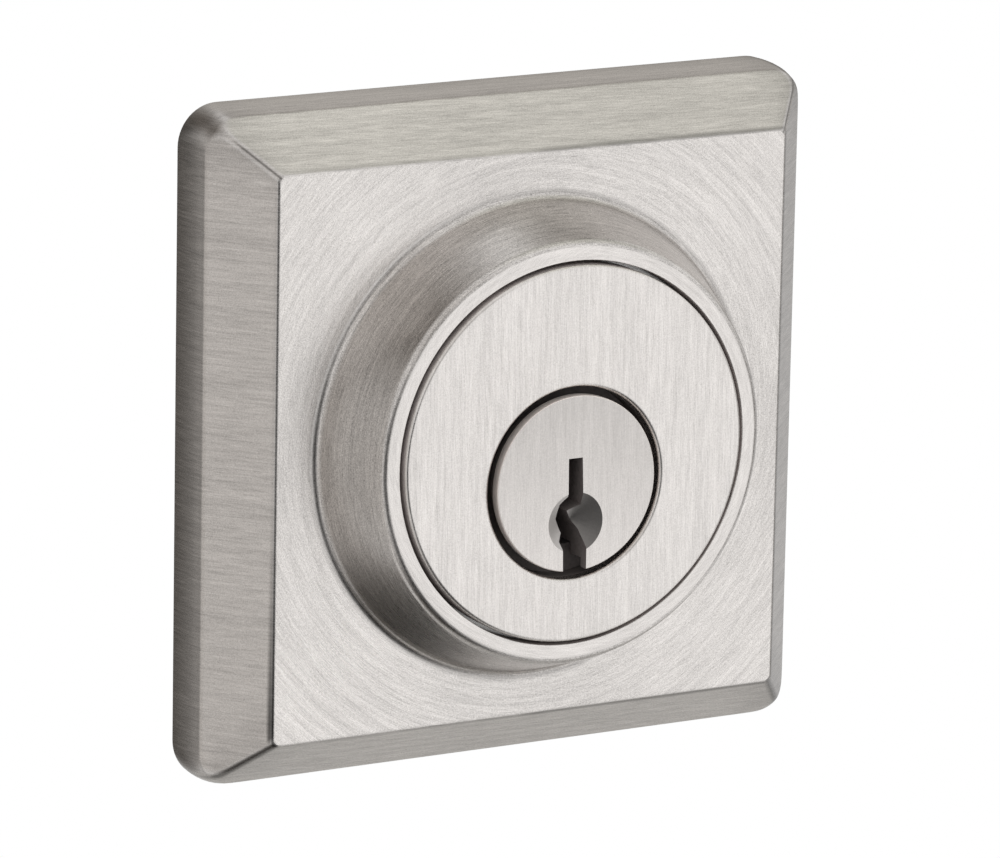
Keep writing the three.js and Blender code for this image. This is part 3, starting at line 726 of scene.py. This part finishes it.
def meltCorners(shell):
    # smooths the four corners, so that the crease fades out before it meets them
    r = rose
    inset = r["crease"] - r["meltInset"]
    spot = Vector((inset, r["sideY"], inset))
    mesh = shell.data
    places = np.array([v.co for v in mesh.vertices]) / mm
    off = np.linalg.norm(np.abs(places * (1, 0, 1)) + (0, r["sideY"], 0) - spot, axis=1)
    off = np.hypot(off, places[:, 1] - r["sideY"])
    weight = np.clip(1 - off / r["melt"], 0, 1)
    weight = (weight * weight * (3 - 2 * weight))[:, None]
    weight[places[:, 1] > r["meltBackY"]] = 0
    edges = np.array([e.vertices[:] for e in mesh.edges])
    edges = edges[(weight[edges[:, 0], 0] > 0) | (weight[edges[:, 1], 0] > 0)]
    count = np.zeros((len(places), 1))
    np.add.at(count, edges[:, 0], 1)
    np.add.at(count, edges[:, 1], 1)
    for _ in range(r["meltRounds"]):
        total = np.zeros_like(places)
        np.add.at(total, edges[:, 0], places[edges[:, 1]])
        np.add.at(total, edges[:, 1], places[edges[:, 0]])
        places += (total / np.maximum(count, 1) - places) * weight * 0.5
    mesh.vertices.foreach_set("co", (places * mm).ravel())
    mesh.update()


def roseInside():
    # ribs between the sleeve and the sides, and a drilled boss for each retainer screw
    r = rose
    parts = []
    inner, ends, rootY = r["sleeve"] - r["ribInto"], r["ribEnd"], r["ribRootY"]
    for quarter in range(4):
        outline = [(inner, rootY), (ends[0], rootY), (ends[1], r["ribBackY"]), (inner, r["ribBackY"])]
        rib = prism("rib", outline, -r["ribHalf"], r["ribHalf"])
        rib.data.transform(Matrix.Rotation(math.pi / 2 * quarter, 4, "Y")
                           @ Matrix.Rotation(math.pi, 4, "X") @ Matrix.Rotation(math.pi / 2, 4, "X"))
        parts.append(breakEdges(rib, r["ribEdge"]))
    for x in (-1, 1):
        for z in (-1, 1):
            parts.append(softEdges(turnedPiece("boss", filletPath([
                (r["boss"], rootY, 0), (r["boss"], r["sleeveY"], 0.2),
                (r["bossHole"], r["sleeveY"], 0.15), (r["bossHole"], rootY, 0)], 3),
                (x * r["screwAt"], z * r["screwAt"]), 48), 50))
    return [painted(part, zincMetal) for part in parts]


roseShell = buildRose()
place(roseShell, "lock_body", ["rose_plate"])
print("rose:", len(roseShell.data.polygons), "faces")


# cylinder face: a thin cap with the plug's hole below its middle

cylinderCap = {
    "radius": 17.66, "edge": 0.36, "frontY": -18.3, "backY": -17.3, "skirtY": -16.2, "skirtInner": 16.9,
    "hole": 9.0, "holeDrop": 2.7, "holeEdge": 0.4, "sides": 144,
}


def buildCylinderCap():
    c = cylinderCap
    # the point that each path drops only gives the edge its direction
    hole = filletPath([(c["hole"], c["backY"], 0), (c["hole"], c["frontY"], c["holeEdge"]),
                       (c["hole"] + 3, c["frontY"], 0)])[:-1]
    rim = filletPath([(c["radius"] - 3, c["frontY"], 0), (c["radius"], c["frontY"], c["edge"]),
                      (c["radius"], c["skirtY"], 0)])[1:]
    rim += [(c["skirtInner"], c["skirtY"]), (c["skirtInner"], c["backY"])]
    rings = [circle(radius, y, c["sides"], (0, -c["holeDrop"])) for radius, y in hole]
    rings += [circle(radius, y, c["sides"]) for radius, y in rim]
    disc = painted(ringLoft("cylinderCap", rings), faceMetal, gapShade)
    # painted shade: the skirt's inner side takes the dark gap material
    for face in disc.data.polygons:  # the skirt's inner side is dark
        radial = math.hypot(face.center.x, face.center.z) / mm
        if face.normal.y > -0.2 and radial > c["skirtInner"] - 0.5:
            face.material_index = 1
    return softEdges(disc, 50)


capPiece = buildCylinderCap()
place(capPiece, "lock_body", ["cylinder_face"])
print("cylinder cap:", len(capPiece.data.polygons), "faces")


# plug: flange, hub, barrel and threaded end, cut by the keyway, the lead-in, the pin holes and
# the bow-tie pocket in which the tailpiece's head swings

plug = {
    "axisZ": -2.7, "frontY": -18.6, "flange": 8.27, "edge": 0.12, "flangeBackY": -17.6,
    "hub": 7.4, "hubBackY": -15.6, "barrel": 6.35, "barrelBackY": 8.1, "thread": 5.36, "backY": 11.3,
    "leadIn": 2.85, "leadInDrop": 3.67, "leadInDepth": 1.3,
    "pinHole": 1.61, "pinFloor": -2.2, "firstPinY": -10.69, "pinSpacing": 3.97,
    "pocket": 4.6, "pocketSide": 1.4, "pocketPlay": 45, "pocketY": 8.6,
    "threadWire": 0.16, "threadTurns": 5, "threadFrom": 0.35, "threadLong": 2.5, "pastLastPin": 1.81,
    "slotHalf": 1.35, "slotBelow": 4, "rimBand": 0.5, "discShade": (1.11, 0.88),
    "leadInSide": (-0.9, 0.2), "leadInShade": (1.2, 0.52),
}

# keyway outline (x, height from the plug's axis)
keyway = [
    (0.62, 2.43), (-0.84, 2.43), (-0.80, -1.15), (-1.62, -1.85), (-1.90, -3.20), (-1.22, -4.62),
    (-1.58, -5.35), (-1.28, -6.10), (-1.20, -9.38), (1.22, -9.38), (1.20, -6.10), (0.72, -4.50),
    (-0.52, -2.66), (0.80, -2.10),
]


def bowTie(reach, side, play, steps=24):
    # outline of a slot that lets a flat head swing by play degrees each way about its middle
    swing = math.radians(play)
    start = swing - math.asin(side / reach)
    outline = [(side / math.cos(swing), 0)]
    for k in range(steps + 1):
        angle = start + (math.pi - 2 * start) * k / steps
        outline.append((reach * math.cos(angle), reach * math.sin(angle)))
    return outline + [(-x, -z) for x, z in outline]


def pinHoles(name, low, high):
    # a tool for each pin's hole, from low to high over the plug's axis
    tools = []
    for i in range(5):
        tool = moved(rod(name, plug["pinHole"], low, high), turn=90)
        tools.append(moved(tool, y=plug["firstPinY"] + i * plug["pinSpacing"], z=plug["axisZ"]))
    return tools


def buildPlug():
    p = plug
    profile = filletPath([
        (0, p["frontY"], 0), (p["flange"], p["frontY"], p["edge"]), (p["flange"], p["flangeBackY"], 0.1),
        (p["hub"], p["flangeBackY"], 0), (p["hub"], p["hubBackY"], 0.1), (p["barrel"], p["hubBackY"], 0),
        (p["barrel"], p["barrelBackY"], 0.15), (p["thread"], p["barrelBackY"], 0),
        (p["thread"], p["backY"], 0.25), (0, p["backY"], 0),
    ], steps=4, support=0.05)
    z = p["axisZ"]
    body = turnedPiece("plugBody", profile, (0, z), 128)
    lastPin = p["firstPinY"] + 4 * p["pinSpacing"]
    slot = prism("keywayTool", [(x, z + h) for x, h in keyway], p["frontY"] - 1,
                 lastPin + p["pastLastPin"])
    depth = p["leadInDepth"]
    cone = turnedPiece("leadInTool", [
        (0, p["frontY"] - depth), (p["leadIn"] * 2, p["frontY"] - depth), (0, p["frontY"] + depth),
    ], (0, z - p["leadInDrop"]), 96)
    pocket = prism("pocketTool", [(x, z + h) for x, h in bowTie(
        p["pocket"], p["pocketSide"], p["pocketPlay"])], p["pocketY"], p["backY"] + 1)
    cut(body, [slot, cone, pocket, *pinHoles("pinHoleTool", p["pinFloor"], 9)])
    painted(body, plugMetal, leadInMetal, barrelMetal, keywayShade, flangeMetal)
    disc, leadIn, brass, dark, flange = range(5)
    for face in body.data.polygons:
        n, c = face.normal, face.center / mm
        radial = math.hypot(c.x, c.z - z)
        band = p["flange"] - p["rimBand"]
        inSlot = abs(c.x) < p["slotHalf"] and c.z < z - p["slotBelow"]
        if n.y < facesFront and c.y < p["frontY"] + 0.05:
            face.material_index = disc
        # painted light: the flange's rim takes the brightened flange nickel
        elif radial > band and c.y < p["flangeBackY"] and not inSlot:
            face.material_index = flange
        elif n.y < -0.88 and c.y < p["frontY"] + depth:
            face.material_index = leadIn
        else:
            # painted shade: the keyway and the faces inside the rim band at the front take the dark
            # keyway material
            face.material_index = dark if (inSlot or radial < band) and c.y < 0 else brass
    winding = thread("plugThread", p["thread"], p["threadWire"], p["threadLong"], p["threadTurns"],
                     barrelMetal, y=p["barrelBackY"] + p["threadFrom"], z=z)
    return joined("plugPiece", [softEdges(body, 20), winding])


def discPaintedLight(nodes, spot):
    # painted light and shade: the disc is a little brighter towards its lower edge and darker towards
    # its upper edge
    low, high = plug["axisZ"] - plug["flange"], plug["axisZ"] + plug["flange"]
    return nodes.spread(nodes.split(spot)[2], *metres((low, high)), *plug["discShade"])


def leadInPaintedLight(nodes, spot):
    # painted light and shade: the lead-in is brighter on its left side than on its right
    return nodes.spread(nodes.split(spot)[0], *metres(plug["leadInSide"]), *plug["leadInShade"])


plugMetal = brushedMetal("satinNickelPlug", "plugNickel", "upright", (0, plug["axisZ"]), discPaintedLight)
leadInMetal = brushedMetal("satinNickelLeadIn", "leadInNickel", "rings",
                           (0, plug["axisZ"] - plug["leadInDrop"]), leadInPaintedLight)
flangeMetal = brushedMetal("satinNickelFlange", "flangeNickelPaintedLight", "turned", (0, plug["axisZ"]))
barrelMetal = brushedMetal("plugBrass", "plugBrass", "turned", (0, plug["axisZ"]))
plugPiece = buildPlug()
place(plugPiece, "plug", ["plug"])
print("plug:", len(plugPiece.data.polygons), "faces")


# housing: two flanges round the collar's axis, a shell round the plug and the pin chambers above

housing = {
    "flange": 16.75, "flangeY": -17.1, "shoulder": 18.6, "shoulderY": -14.3, "shoulderBackY": -12.1,
    "shell": 9.2, "backY": 8.1, "bibleHalf": 4.5, "bibleTop": 15.263, "bore": 6.45,
    "counterbore": 9.0, "counterboreY": -15.4, "slotHalf": 2.11, "slotY": -12.65, "slotFloor": 14.363,
    "drillPin": 1.1, "drillPinAt": 12.875, "drillPinY": -15.7, "edge": 0.18, "overlap": 0.8,
    "darkFromY": -12.5,
}


def buildHousing():
    h = housing
    z = plug["axisZ"]
    body = turnedPiece("housingBody", [
        (0, h["flangeY"]), (h["flange"], h["flangeY"]), (h["flange"], h["shoulderY"]),
        (h["shoulder"], h["shoulderY"]), (h["shoulder"], h["shoulderBackY"]), (0, h["shoulderBackY"]),
    ], (0, 0), 128)
    start = h["shoulderBackY"] - h["overlap"]
    shell = rod("shell", h["shell"], start, h["backY"], (0, z), 96)
    bible = block("bible", (-h["bibleHalf"], start, z), (h["bibleHalf"], h["backY"], h["bibleTop"]))
    cut(body, [shell, bible], "UNION")
    tools = [
        rod("counterboreTool", h["counterbore"], -19, h["counterboreY"], (0, z), 96),
        rod("boreTool", h["bore"], -18, 9, (0, z), 96),
        block("slotTool", (-h["slotHalf"], h["slotY"], h["slotFloor"]), (h["slotHalf"], 9, 17)),
        *pinHoles("chamberTool", 0, 19),
    ]
    for side in (-1, 1):
        at = (side * h["drillPinAt"], 0)
        tools.append(rod("drillPinTool", h["drillPin"], h["drillPinY"], -11, at, 32))
    cut(body, tools)
    # painted shade: the housing's front faces, seen through the gap and the keyway, take the dark seat
    # material
    painted(breakEdges(body, h["edge"], 40), zincMetal, castMetal("darkenedSeat", "darkenedSeat"))
    for face in body.data.polygons:
        if face.center.y < h["darkFromY"] * mm:
            face.material_index = 1
    return body


housingPiece = buildHousing()
place(housingPiece, "lock_body", ["cylinder_housing"])
print("housing:", len(housingPiece.data.polygons), "faces")


# strip over the chambers and the two drill pins

cover = {"half": 2.01, "low": (-12.55, 14.463), "high": (8.1, 15.163), "edge": 0.12, "stake": 0.42,
         "stakeDepth": 0.22}


def buildCover():
    c = cover
    strip = block("chamberCover", (-c["half"], c["low"][0], c["low"][1]),
                  (c["half"], c["high"][0], c["high"][1]))
    breakEdges(strip, c["edge"])
    tools = []
    for i in range(4):
        dent = uprightTurned("stakeTool", [(0, -c["stakeDepth"]), (c["stake"], 0.1), (0, 0.1)], 24)
        tools.append(moved(dent, y=plug["firstPinY"] + (i + 0.5) * plug["pinSpacing"],
                           z=c["high"][1]))
    return painted(softEdges(cut(strip, tools), 20), brushedMetal("coverBrass", "pinBrass", "deep"))


coverPiece = buildCover()
place(coverPiece, "lock_body", ["chamber_cover"])

drillPin = {"radius": 1.0, "frontY": -15.6, "backY": -12.2, "chamfer": 0.2}
blackMetal = brushedMetal("hardenedSteel", "hardenedSteel", "turned")
for side, name in ((-1, "left"), (1, "right")):
    d = drillPin
    pin = turnedPiece("drillPin", filletPath([
        (0, d["frontY"], 0), (d["radius"], d["frontY"], d["chamfer"]),
        (d["radius"], d["backY"], d["chamfer"]), (0, d["backY"], 0)], 3),
        (side * housing["drillPinAt"], 0), 40)
    place(painted(softEdges(pin, 50), blackMetal), "lock_body", ["drill_pin_" + name])
print("cover and drill pins done")


# wave washer and guard ring in the collar's bore

washer = {"inner": 17.05, "outer": 18.6, "middleY": -15.2, "thickness": 0.3, "rise": 0.35, "waves": 3,
          "edge": 0.07, "sides": 216}


def buildWasher():
    w = washer
    half = w["thickness"] / 2
    section = filletPath([(w["inner"], -half, w["edge"]), (w["outer"], -half, w["edge"]),
                          (w["outer"], half, w["edge"]), (w["inner"], half, w["edge"])], 3, 0.03)
    rings = []
    for radius, y in section:
        ring = []
        for angle in around(w["sides"]):
            lift = math.cos(angle * w["waves"]) * w["rise"]
            ring.append((radius * math.sin(angle), w["middleY"] + lift + y, radius * math.cos(angle)))
        rings.append(ring)
    return softEdges(ringLoft("waveWasher", rings), 50)


springMetal = brushedMetal("springSteel", "springSteel", "rings")
washerPiece = painted(buildWasher(), springMetal)
place(washerPiece, "lock_body", ["wave_washer"])

guard = {"inner": 16.2, "outer": 18.6, "frontY": -11.9, "backY": -4.2, "chamfer": 0.3}
g = guard
guardPiece = painted(softEdges(turnedPiece("guardRing", filletPath([
    (g["inner"], g["frontY"], g["chamfer"]), (g["outer"], g["frontY"], g["chamfer"]),
    (g["outer"], g["backY"], g["chamfer"]), (g["inner"], g["backY"], g["chamfer"]),
], 3), (0, 0), 144), 50), blackMetal)
place(guardPiece, "lock_body", ["guard_ring"])
print("washer and guard ring done")


# retainer plate, its four screws and the two posts for the bolts

retainer = {"half": 27.75, "corner": 8.0, "frontY": -4.0, "backY": -2.4, "shellHole": 9.5,
            "slotHalf": 4.8, "slotTop": 15.563, "screwHole": 1.65, "postHole": 2.5, "postAt": 19.05,
            "edge": 0.16, "cornerSteps": 12}


def buildRetainer():
    r = retainer
    outline = []
    reach = (r["half"] - r["corner"]) * math.sqrt(2)
    for quarter in range(4):
        middle = math.pi / 2 * quarter + math.pi / 4
        for k in range(r["cornerSteps"] + 1):
            angle = math.pi / 2 * (quarter + k / r["cornerSteps"])
            outline.append((reach * math.cos(middle) + r["corner"] * math.cos(angle),
                            reach * math.sin(middle) + r["corner"] * math.sin(angle)))
    plate = prism("retainerPlate", outline, r["frontY"], r["backY"])
    tools = [block("slotTool", (-r["slotHalf"], -6, plug["axisZ"]), (r["slotHalf"], 0, r["slotTop"]))]
    holes = [(r["shellHole"], 0, plug["axisZ"])]
    holes += [(r["screwHole"], x * rose["screwAt"], z * rose["screwAt"])
              for x in (-1, 1) for z in (-1, 1)]
    holes += [(r["postHole"], x * r["postAt"], 0) for x in (-1, 1)]
    for radius, x, z in holes:
        tools.append(rod("holeTool", radius, -6, 0, (x, z)))
    cut(plate, tools)
    return breakEdges(plate, r["edge"], 40)


retainerPiece = painted(buildRetainer(), brushedMetal("platedSteel", "platedSteel", "level"))
place(retainerPiece, "lock_body", ["retainer_plate"])

screw = {"core": 1.17, "wire": 0.15, "frontY": -7.2, "seatY": -2.2, "head": 2.5, "headY": -0.7,
         "edgeY": -1.35, "crown": 0.8, "crownShare": 0.76, "slotHalf": 0.36, "slotLong": 1.35,
         "slotDepth": 0.95, "turns": 6, "threadFrom": 0.4, "threadLong": 4.3}


def buildScrews():
    s = screw
    shank = turnedPiece("screw", filletPath([
        (0, s["frontY"], 0), (s["core"], s["frontY"], 0.35), (s["core"], s["seatY"], 0),
        (s["head"], s["seatY"], 0.12), (s["head"], s["edgeY"], 0.1),
        (s["head"] * s["crownShare"], s["headY"], s["crown"]), (0, s["headY"], 0)], 6), (0, 0), 48)
    floor, half, long = s["headY"] - s["slotDepth"], s["slotHalf"], s["slotLong"]
    cut(shank, [block("crossTool", (-long, floor, -half), (long, 1, half)),
                block("crossTool", (-half, floor, -long), (half, 1, long))])
    winding = thread("screwThread", s["core"], s["wire"], s["threadLong"], s["turns"], screwMetal,
                     y=s["frontY"] + s["threadFrom"])
    one = joined("oneScrew", [painted(softEdges(shank, 35), screwMetal), winding])
    four = grown("retainerScrews", screwSetNodes, {
        "Screw": one, "Spacing": rose["screwAt"] * 2 * mm, "Seed": 7, "Material": screwMetal})
    bpy.data.objects.remove(one)
    return four


screwMetal = brushedMetal("screwSteel", "screwSteel", "rings")
screwPiece = buildScrews()
place(screwPiece, "lock_body", ["retainer_screw_%d" % i for i in (1, 2, 3, 4)])

post = {"spigot": 2.3, "frontY": -4.0, "seatY": -2.2, "flange": 4.4, "flangeY": -1.0, "radius": 3.2,
        "endY": 14.0, "hole": 2.02, "floorY": 2.0, "drillTip": 0.8, "wire": 0.12, "turns": 13,
        "threadFrom": 0.2, "threadLong": 11.2}
for side, name in ((-1, "left"), (1, "right")):
    p = post
    postX = side * retainer["postAt"]
    metal = brushedMetal("postSteel" + name.capitalize(), "platedSteel", "turned", (postX, 0))
    body = turnedPiece("post", filletPath([
        (0, p["frontY"], 0), (p["spigot"], p["frontY"], 0.2), (p["spigot"], p["seatY"], 0),
        (p["flange"], p["seatY"], 0.15), (p["flange"], p["flangeY"], 0.25),
        (p["radius"], p["flangeY"], 0.2), (p["radius"], p["endY"], 0.35), (p["hole"], p["endY"], 0.3),
        (p["hole"], p["floorY"], 0), (0, p["floorY"] - p["drillTip"], 0)], 5), (postX, 0), 64)
    winding = thread("postThread", p["hole"], p["wire"], p["threadLong"], p["turns"], metal,
                     x=postX, y=p["floorY"] + p["threadFrom"])
    place(joined("screwPost", [painted(softEdges(body, 50), metal), winding]), "lock_body",
          ["screw_post_" + name])
print("retainer, screws and posts done")


# pin stacks: key pin, driver pin and spring, from the shear line down and up

stacks = {
    "keyLengths": (4.6, 6.2, 5.3, 6.9, 5.8), "radius": 1.46, "tip": 0.45, "tipHeight": 0.75,
    "keyTop": 3.480, "driverFoot": 3.8, "driverTop": 8.7, "waist": 1.0, "spoolEnd": 0.9,
    "chamfer": 0.12, "springFoot": 8.8, "springTop": 14.263, "wire": 0.17, "springTurns": 6.5,
    "wireSides": 10, "tipRound": 0.25, "footRound": 0.15, "spoolRound": 0.06, "waistRound": 0.1,
    "keywayTop": 2.45, "plugTop": 6.180,
}
pinMetal = brushedMetal("pinBrass", "pinBrass", "level")
driverMetal = brushedMetal("driverNickelSilver", "driverNickelSilver", "level")
wireMetal = brushedMetal("springWire", "springSteel", "level")


def buildStack(index):
    s = stacks
    y = plug["firstPinY"] + index * plug["pinSpacing"]
    foot = s["keyTop"] - s["keyLengths"][index]
    key = uprightTurned("keyPin", filletPath([
        (0, foot, 0), (s["tip"], foot, s["tipRound"]),
        (s["radius"], foot + s["tipHeight"], s["footRound"]),
        (s["radius"], s["keyTop"], s["chamfer"]), (0, s["keyTop"], 0)], 4, 0.03))
    low, high = s["driverFoot"] + s["spoolEnd"], s["driverTop"] - s["spoolEnd"]
    step = s["radius"] - s["waist"]
    outline = [(0, s["driverFoot"], 0), (s["radius"], s["driverFoot"], s["chamfer"])]
    if index % 2:
        outline += [(s["radius"], low, s["spoolRound"]), (s["waist"], low + step, s["waistRound"]),
                    (s["waist"], high - step, s["waistRound"]), (s["radius"], high, s["spoolRound"])]
    outline += [(s["radius"], s["driverTop"], s["chamfer"]), (0, s["driverTop"], 0)]
    driver = uprightTurned("driverPin", filletPath(outline, 4, 0.03))
    spring = coil("pinSpring", s["radius"] - s["wire"], s["wire"], s["springTop"] - s["springFoot"],
                  s["springTurns"], 1.0, wireMetal, s["wireSides"])
    number = str(index + 1)
    place(painted(softEdges(moved(key, y=y), 50), pinMetal), "key_pin_" + number,
          ["key_pin_" + number])
    place(painted(softEdges(moved(driver, y=y), 50), driverMetal), "driver_pin_" + number,
          ["driver_pin_" + number])
    place(moved(spring, y=y, z=s["springFoot"]), "lock_body", ["pin_spring_" + number])
    return spring, y


for index in range(5):
    spring, y = buildStack(index)
    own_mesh(spring)
print("pin stacks done")


# cap nut on the plug's end, and the tailpiece that it keeps in the pocket

cap = {"inner": 5.6, "outer": 7.2, "frontY": 8.3, "innerY": 11.5, "backY": 12.5, "hole": 3.528,
       "notches": 12, "notch": 0.5, "notchFrom": 6.4, "edge": 0.15, "perNotch": 24}


def buildCap():
    c = cap

    def outerAt(angle, radius):
        pitch = 2 * math.pi / c["notches"]
        off = (angle + pitch / 2) % pitch - pitch / 2
        across = abs(c["outer"] * math.sin(off))
        dip = math.sqrt(max(0.0, c["notch"] ** 2 - across ** 2))
        return min(radius, c["outer"] - dip)

    section = filletPath([
        (c["inner"], c["frontY"], c["edge"]), (c["outer"], c["frontY"], c["edge"]),
        (c["outer"], c["backY"], c["edge"]), (c["hole"], c["backY"], c["edge"]),
        (c["hole"], c["innerY"], 0), (c["inner"], c["innerY"], 0)], 3, 0.04)
    rings = []
    for radius, y in section:
        ring = []
        for angle in around(c["notches"] * c["perNotch"]):
            reach = outerAt(angle, radius) if radius > c["notchFrom"] else radius
            ring.append((reach * math.cos(angle), y, reach * math.sin(angle) + plug["axisZ"]))
        rings.append(ring)
    return softEdges(ringLoft("plugCap", rings), 40)


capNut = painted(buildCap(), brushedMetal("capBrass", "capBrass", "turned", (0, plug["axisZ"])))
place(capNut, "plug", ["plug_cap"])

tail = {"half": 3.1, "side": 0.9, "endY": 46.0, "headHalf": 4.2, "headSide": 1.3, "headY": (8.8, 11.1),
        "notch": 0.566, "notchSpacing": 6.35, "notchCount": 4, "edge": 0.14}


def buildTail():
    t = tail
    z = plug["axisZ"]
    edge = []
    for i in range(t["notchCount"], 0, -1):
        y = t["endY"] - i * t["notchSpacing"]
        edge += [(y - t["notch"], t["half"]), (y, t["half"] - t["notch"]), (y + t["notch"], t["half"])]
    edge.append((t["endY"], t["half"]))
    outline = [(t["headY"][1] - 1, t["half"])] + edge
    outline += [(y, -h) for y, h in reversed(outline)]
    # drawn along X, then turned to lie along Y
    blade = prism("tailBlade", [(y, h) for y, h in outline], -t["side"], t["side"])
    blade.data.transform(Matrix(((0, -1, 0, 0), (1, 0, 0, 0), (0, 0, 1, 0), (0, 0, 0, 1))))
    moved(blade, z=z)
    faceOutwards(blade)
    head = block("tailHead", (-t["headSide"], t["headY"][0], z - t["headHalf"]),
                 (t["headSide"], t["headY"][1], z + t["headHalf"]))
    cut(blade, [head], "UNION")
    return breakEdges(blade, t["edge"], 30)


tailMetal = brushedMetal("tailSteel", "tailSteel", "deep", (0, plug["axisZ"]))
tailPiece = painted(buildTail(), tailMetal)
place(tailPiece, "tailpiece", ["tailpiece"])
print("cap nut and tailpiece done")


# floor, light and camera

studio = {
    "floorZ": -0.32, "floorRadius": 0.28, "floorCentre": (0.12, 0.15), "lensMm": 270.28,
    "cameraAt": (-0.334937, -0.594206, 0.162213),
    "right": (0.871659, -0.489762, 0.018537), "forward": (0.480078, 0.845588, -0.233466),
    "sensorMm": 36, "clip": (0.01, 20), "floorSides": 64, "floorScale": 6.0,
    "floorTone": (0.80, 0.82), "floorRoughness": 0.9, "lampSize": 0.8,
    "lamps": (("keyLamp", (0.75, -1.25, -0.25), 0.12), ("topLamp", (0.5, -0.3, 1.3), 0.25)),
}

# darker cards of the soft room, as the metal sees them: direction, half angle in degrees, colour
cards = [
    ((-0.36, -0.90, -0.22), 31, (0.03, 0.03, 0.03)),
    ((-0.02, -0.69, -0.73), 28, (0.05, 0.05, 0.05)),
    ((-0.10, -0.94, 0.34), 24, (0.50, 0.49, 0.48)),
    ((-0.42, -0.62, 0.667), 32, (0.76, 0.74, 0.72)),
    ((-0.95, 0.10, -0.20), 60, (0.58, 0.56, 0.54)),
    ((-0.30, 0.93, -0.23), 50, (0.085, 0.078, 0.070)),
    ((-0.57, 0.34, 0.74), 45, (0.40, 0.38, 0.36)),
    ((-0.615, 0.34, 0.71), 20, (0.40, 0.38, 0.36)),
    ((-0.22, 0.85, 0.47), 34, (0.22, 0.20, 0.18)),
    ((0.48, -0.06, 0.875), 40, (0.68, 0.68, 0.63)),
    ((0.48, 0.50, 0.72), 22, (0.46, 0.44, 0.42)),
    ((0.48, 0.84, 0.25), 34, (0.55, 0.53, 0.50)),
    ((0.60, 0.79, -0.02), 22, (0.45, 0.435, 0.42)),
    ((0.74, 0.62, -0.23), 38, (0.58, 0.58, 0.58)),
    ((0.95, -0.21, -0.23), 24, (0.33, 0.32, 0.31)),
    ((0.93, 0.30, 0.21), 22, (0.60, 0.59, 0.57)),
    ((-0.17, -0.40, -0.90), 38, (0.10, 0.09, 0.08)),
]


def buildStudio():
    world = bpy.data.worlds.new("softRoom")
    world.use_nodes = True
    bpy.context.scene.world = world
    nodes = Nodes(world)
    path = nodes.add("ShaderNodeLightPath").outputs
    towards = nodes.add("ShaderNodeTexCoord").outputs["Generated"]
    room = nodes.vector(1.0, 1.0, 1.0)
    for direction, halfAngle, colour in cards:
        aim = Vector(direction).normalized()
        close = nodes.add("ShaderNodeVectorMath", {0: towards, 1: aim}, operation="DOT_PRODUCT")
        soft = nodes.add("ShaderNodeMapRange", {
            0: close.outputs["Value"], 1: math.cos(math.radians(halfAngle)), 2: 1.0, 3: 0.0, 4: 1.0},
            interpolation_type="SMOOTHSTEP")
        card = nodes.add("ShaderNodeMix", {0: soft.outputs[0], 4: (1, 1, 1), 5: colour},
                         data_type="VECTOR")
        room = nodes.add("ShaderNodeVectorMath", {0: room, 1: card.outputs[1]},
                         operation="MULTIPLY").outputs[0]
    seen = nodes.add("ShaderNodeMix", {0: path["Is Camera Ray"], 4: room, 5: (1, 1, 1)},
                     data_type="VECTOR")
    back = nodes.add("ShaderNodeBackground", {"Color": seen.outputs[1], "Strength": 1.0})
    nodes.add("ShaderNodeOutputWorld", {0: back.outputs[0]})

    rim = []
    for angle in around(studio["floorSides"]):
        rim.append(((studio["floorCentre"][0] + studio["floorRadius"] * math.cos(angle)) / mm,
                    (studio["floorCentre"][1] + studio["floorRadius"] * math.sin(angle)) / mm,
                    studio["floorZ"] / mm))
    floor = meshObject("studioFloor", rim, [tuple(range(len(rim)))], smooth=False)
    pale, nodes = newMaterial("paleFloor")
    cloud = nodes.noise(nodes.objectSpot(), studio["floorScale"], 2.0)
    tint = nodes.spread(cloud, 0.3, 0.7, *studio["floorTone"])
    paint = nodes.add("ShaderNodeBsdfPrincipled", {
        "Base Color": nodes.vector(tint, tint, tint), "Roughness": studio["floorRoughness"]})
    nodes.add("ShaderNodeOutputMaterial", {0: paint.outputs[0]})
    floor.data.materials.append(pale)

    for name, spot, power in studio["lamps"]:
        lamp = bpy.data.lights.new(name, "AREA")
        lamp.size = studio["lampSize"]
        lamp.energy = power
        holder = newObject(name, lamp)
        holder.location = spot
        holder.rotation_euler = (-Vector(spot)).to_track_quat("-Z", "Y").to_euler()

    lens = bpy.data.cameras.new("mainCamera")
    lens.lens = studio["lensMm"]
    lens.sensor_width = studio["sensorMm"]
    lens.clip_start, lens.clip_end = studio["clip"]
    camera = newObject("mainCamera", lens)
    right = Vector(studio["right"]).normalized()
    back = -Vector(studio["forward"]).normalized()
    up = back.cross(right).normalized()
    turn = Matrix((right, up, back)).transposed()
    camera.matrix_world = Matrix.Translation(studio["cameraAt"]) @ turn.to_4x4()
    bpy.context.scene.camera = camera


buildStudio()
bpy.context.scene.view_settings.view_transform = "Standard"
print("studio ready")
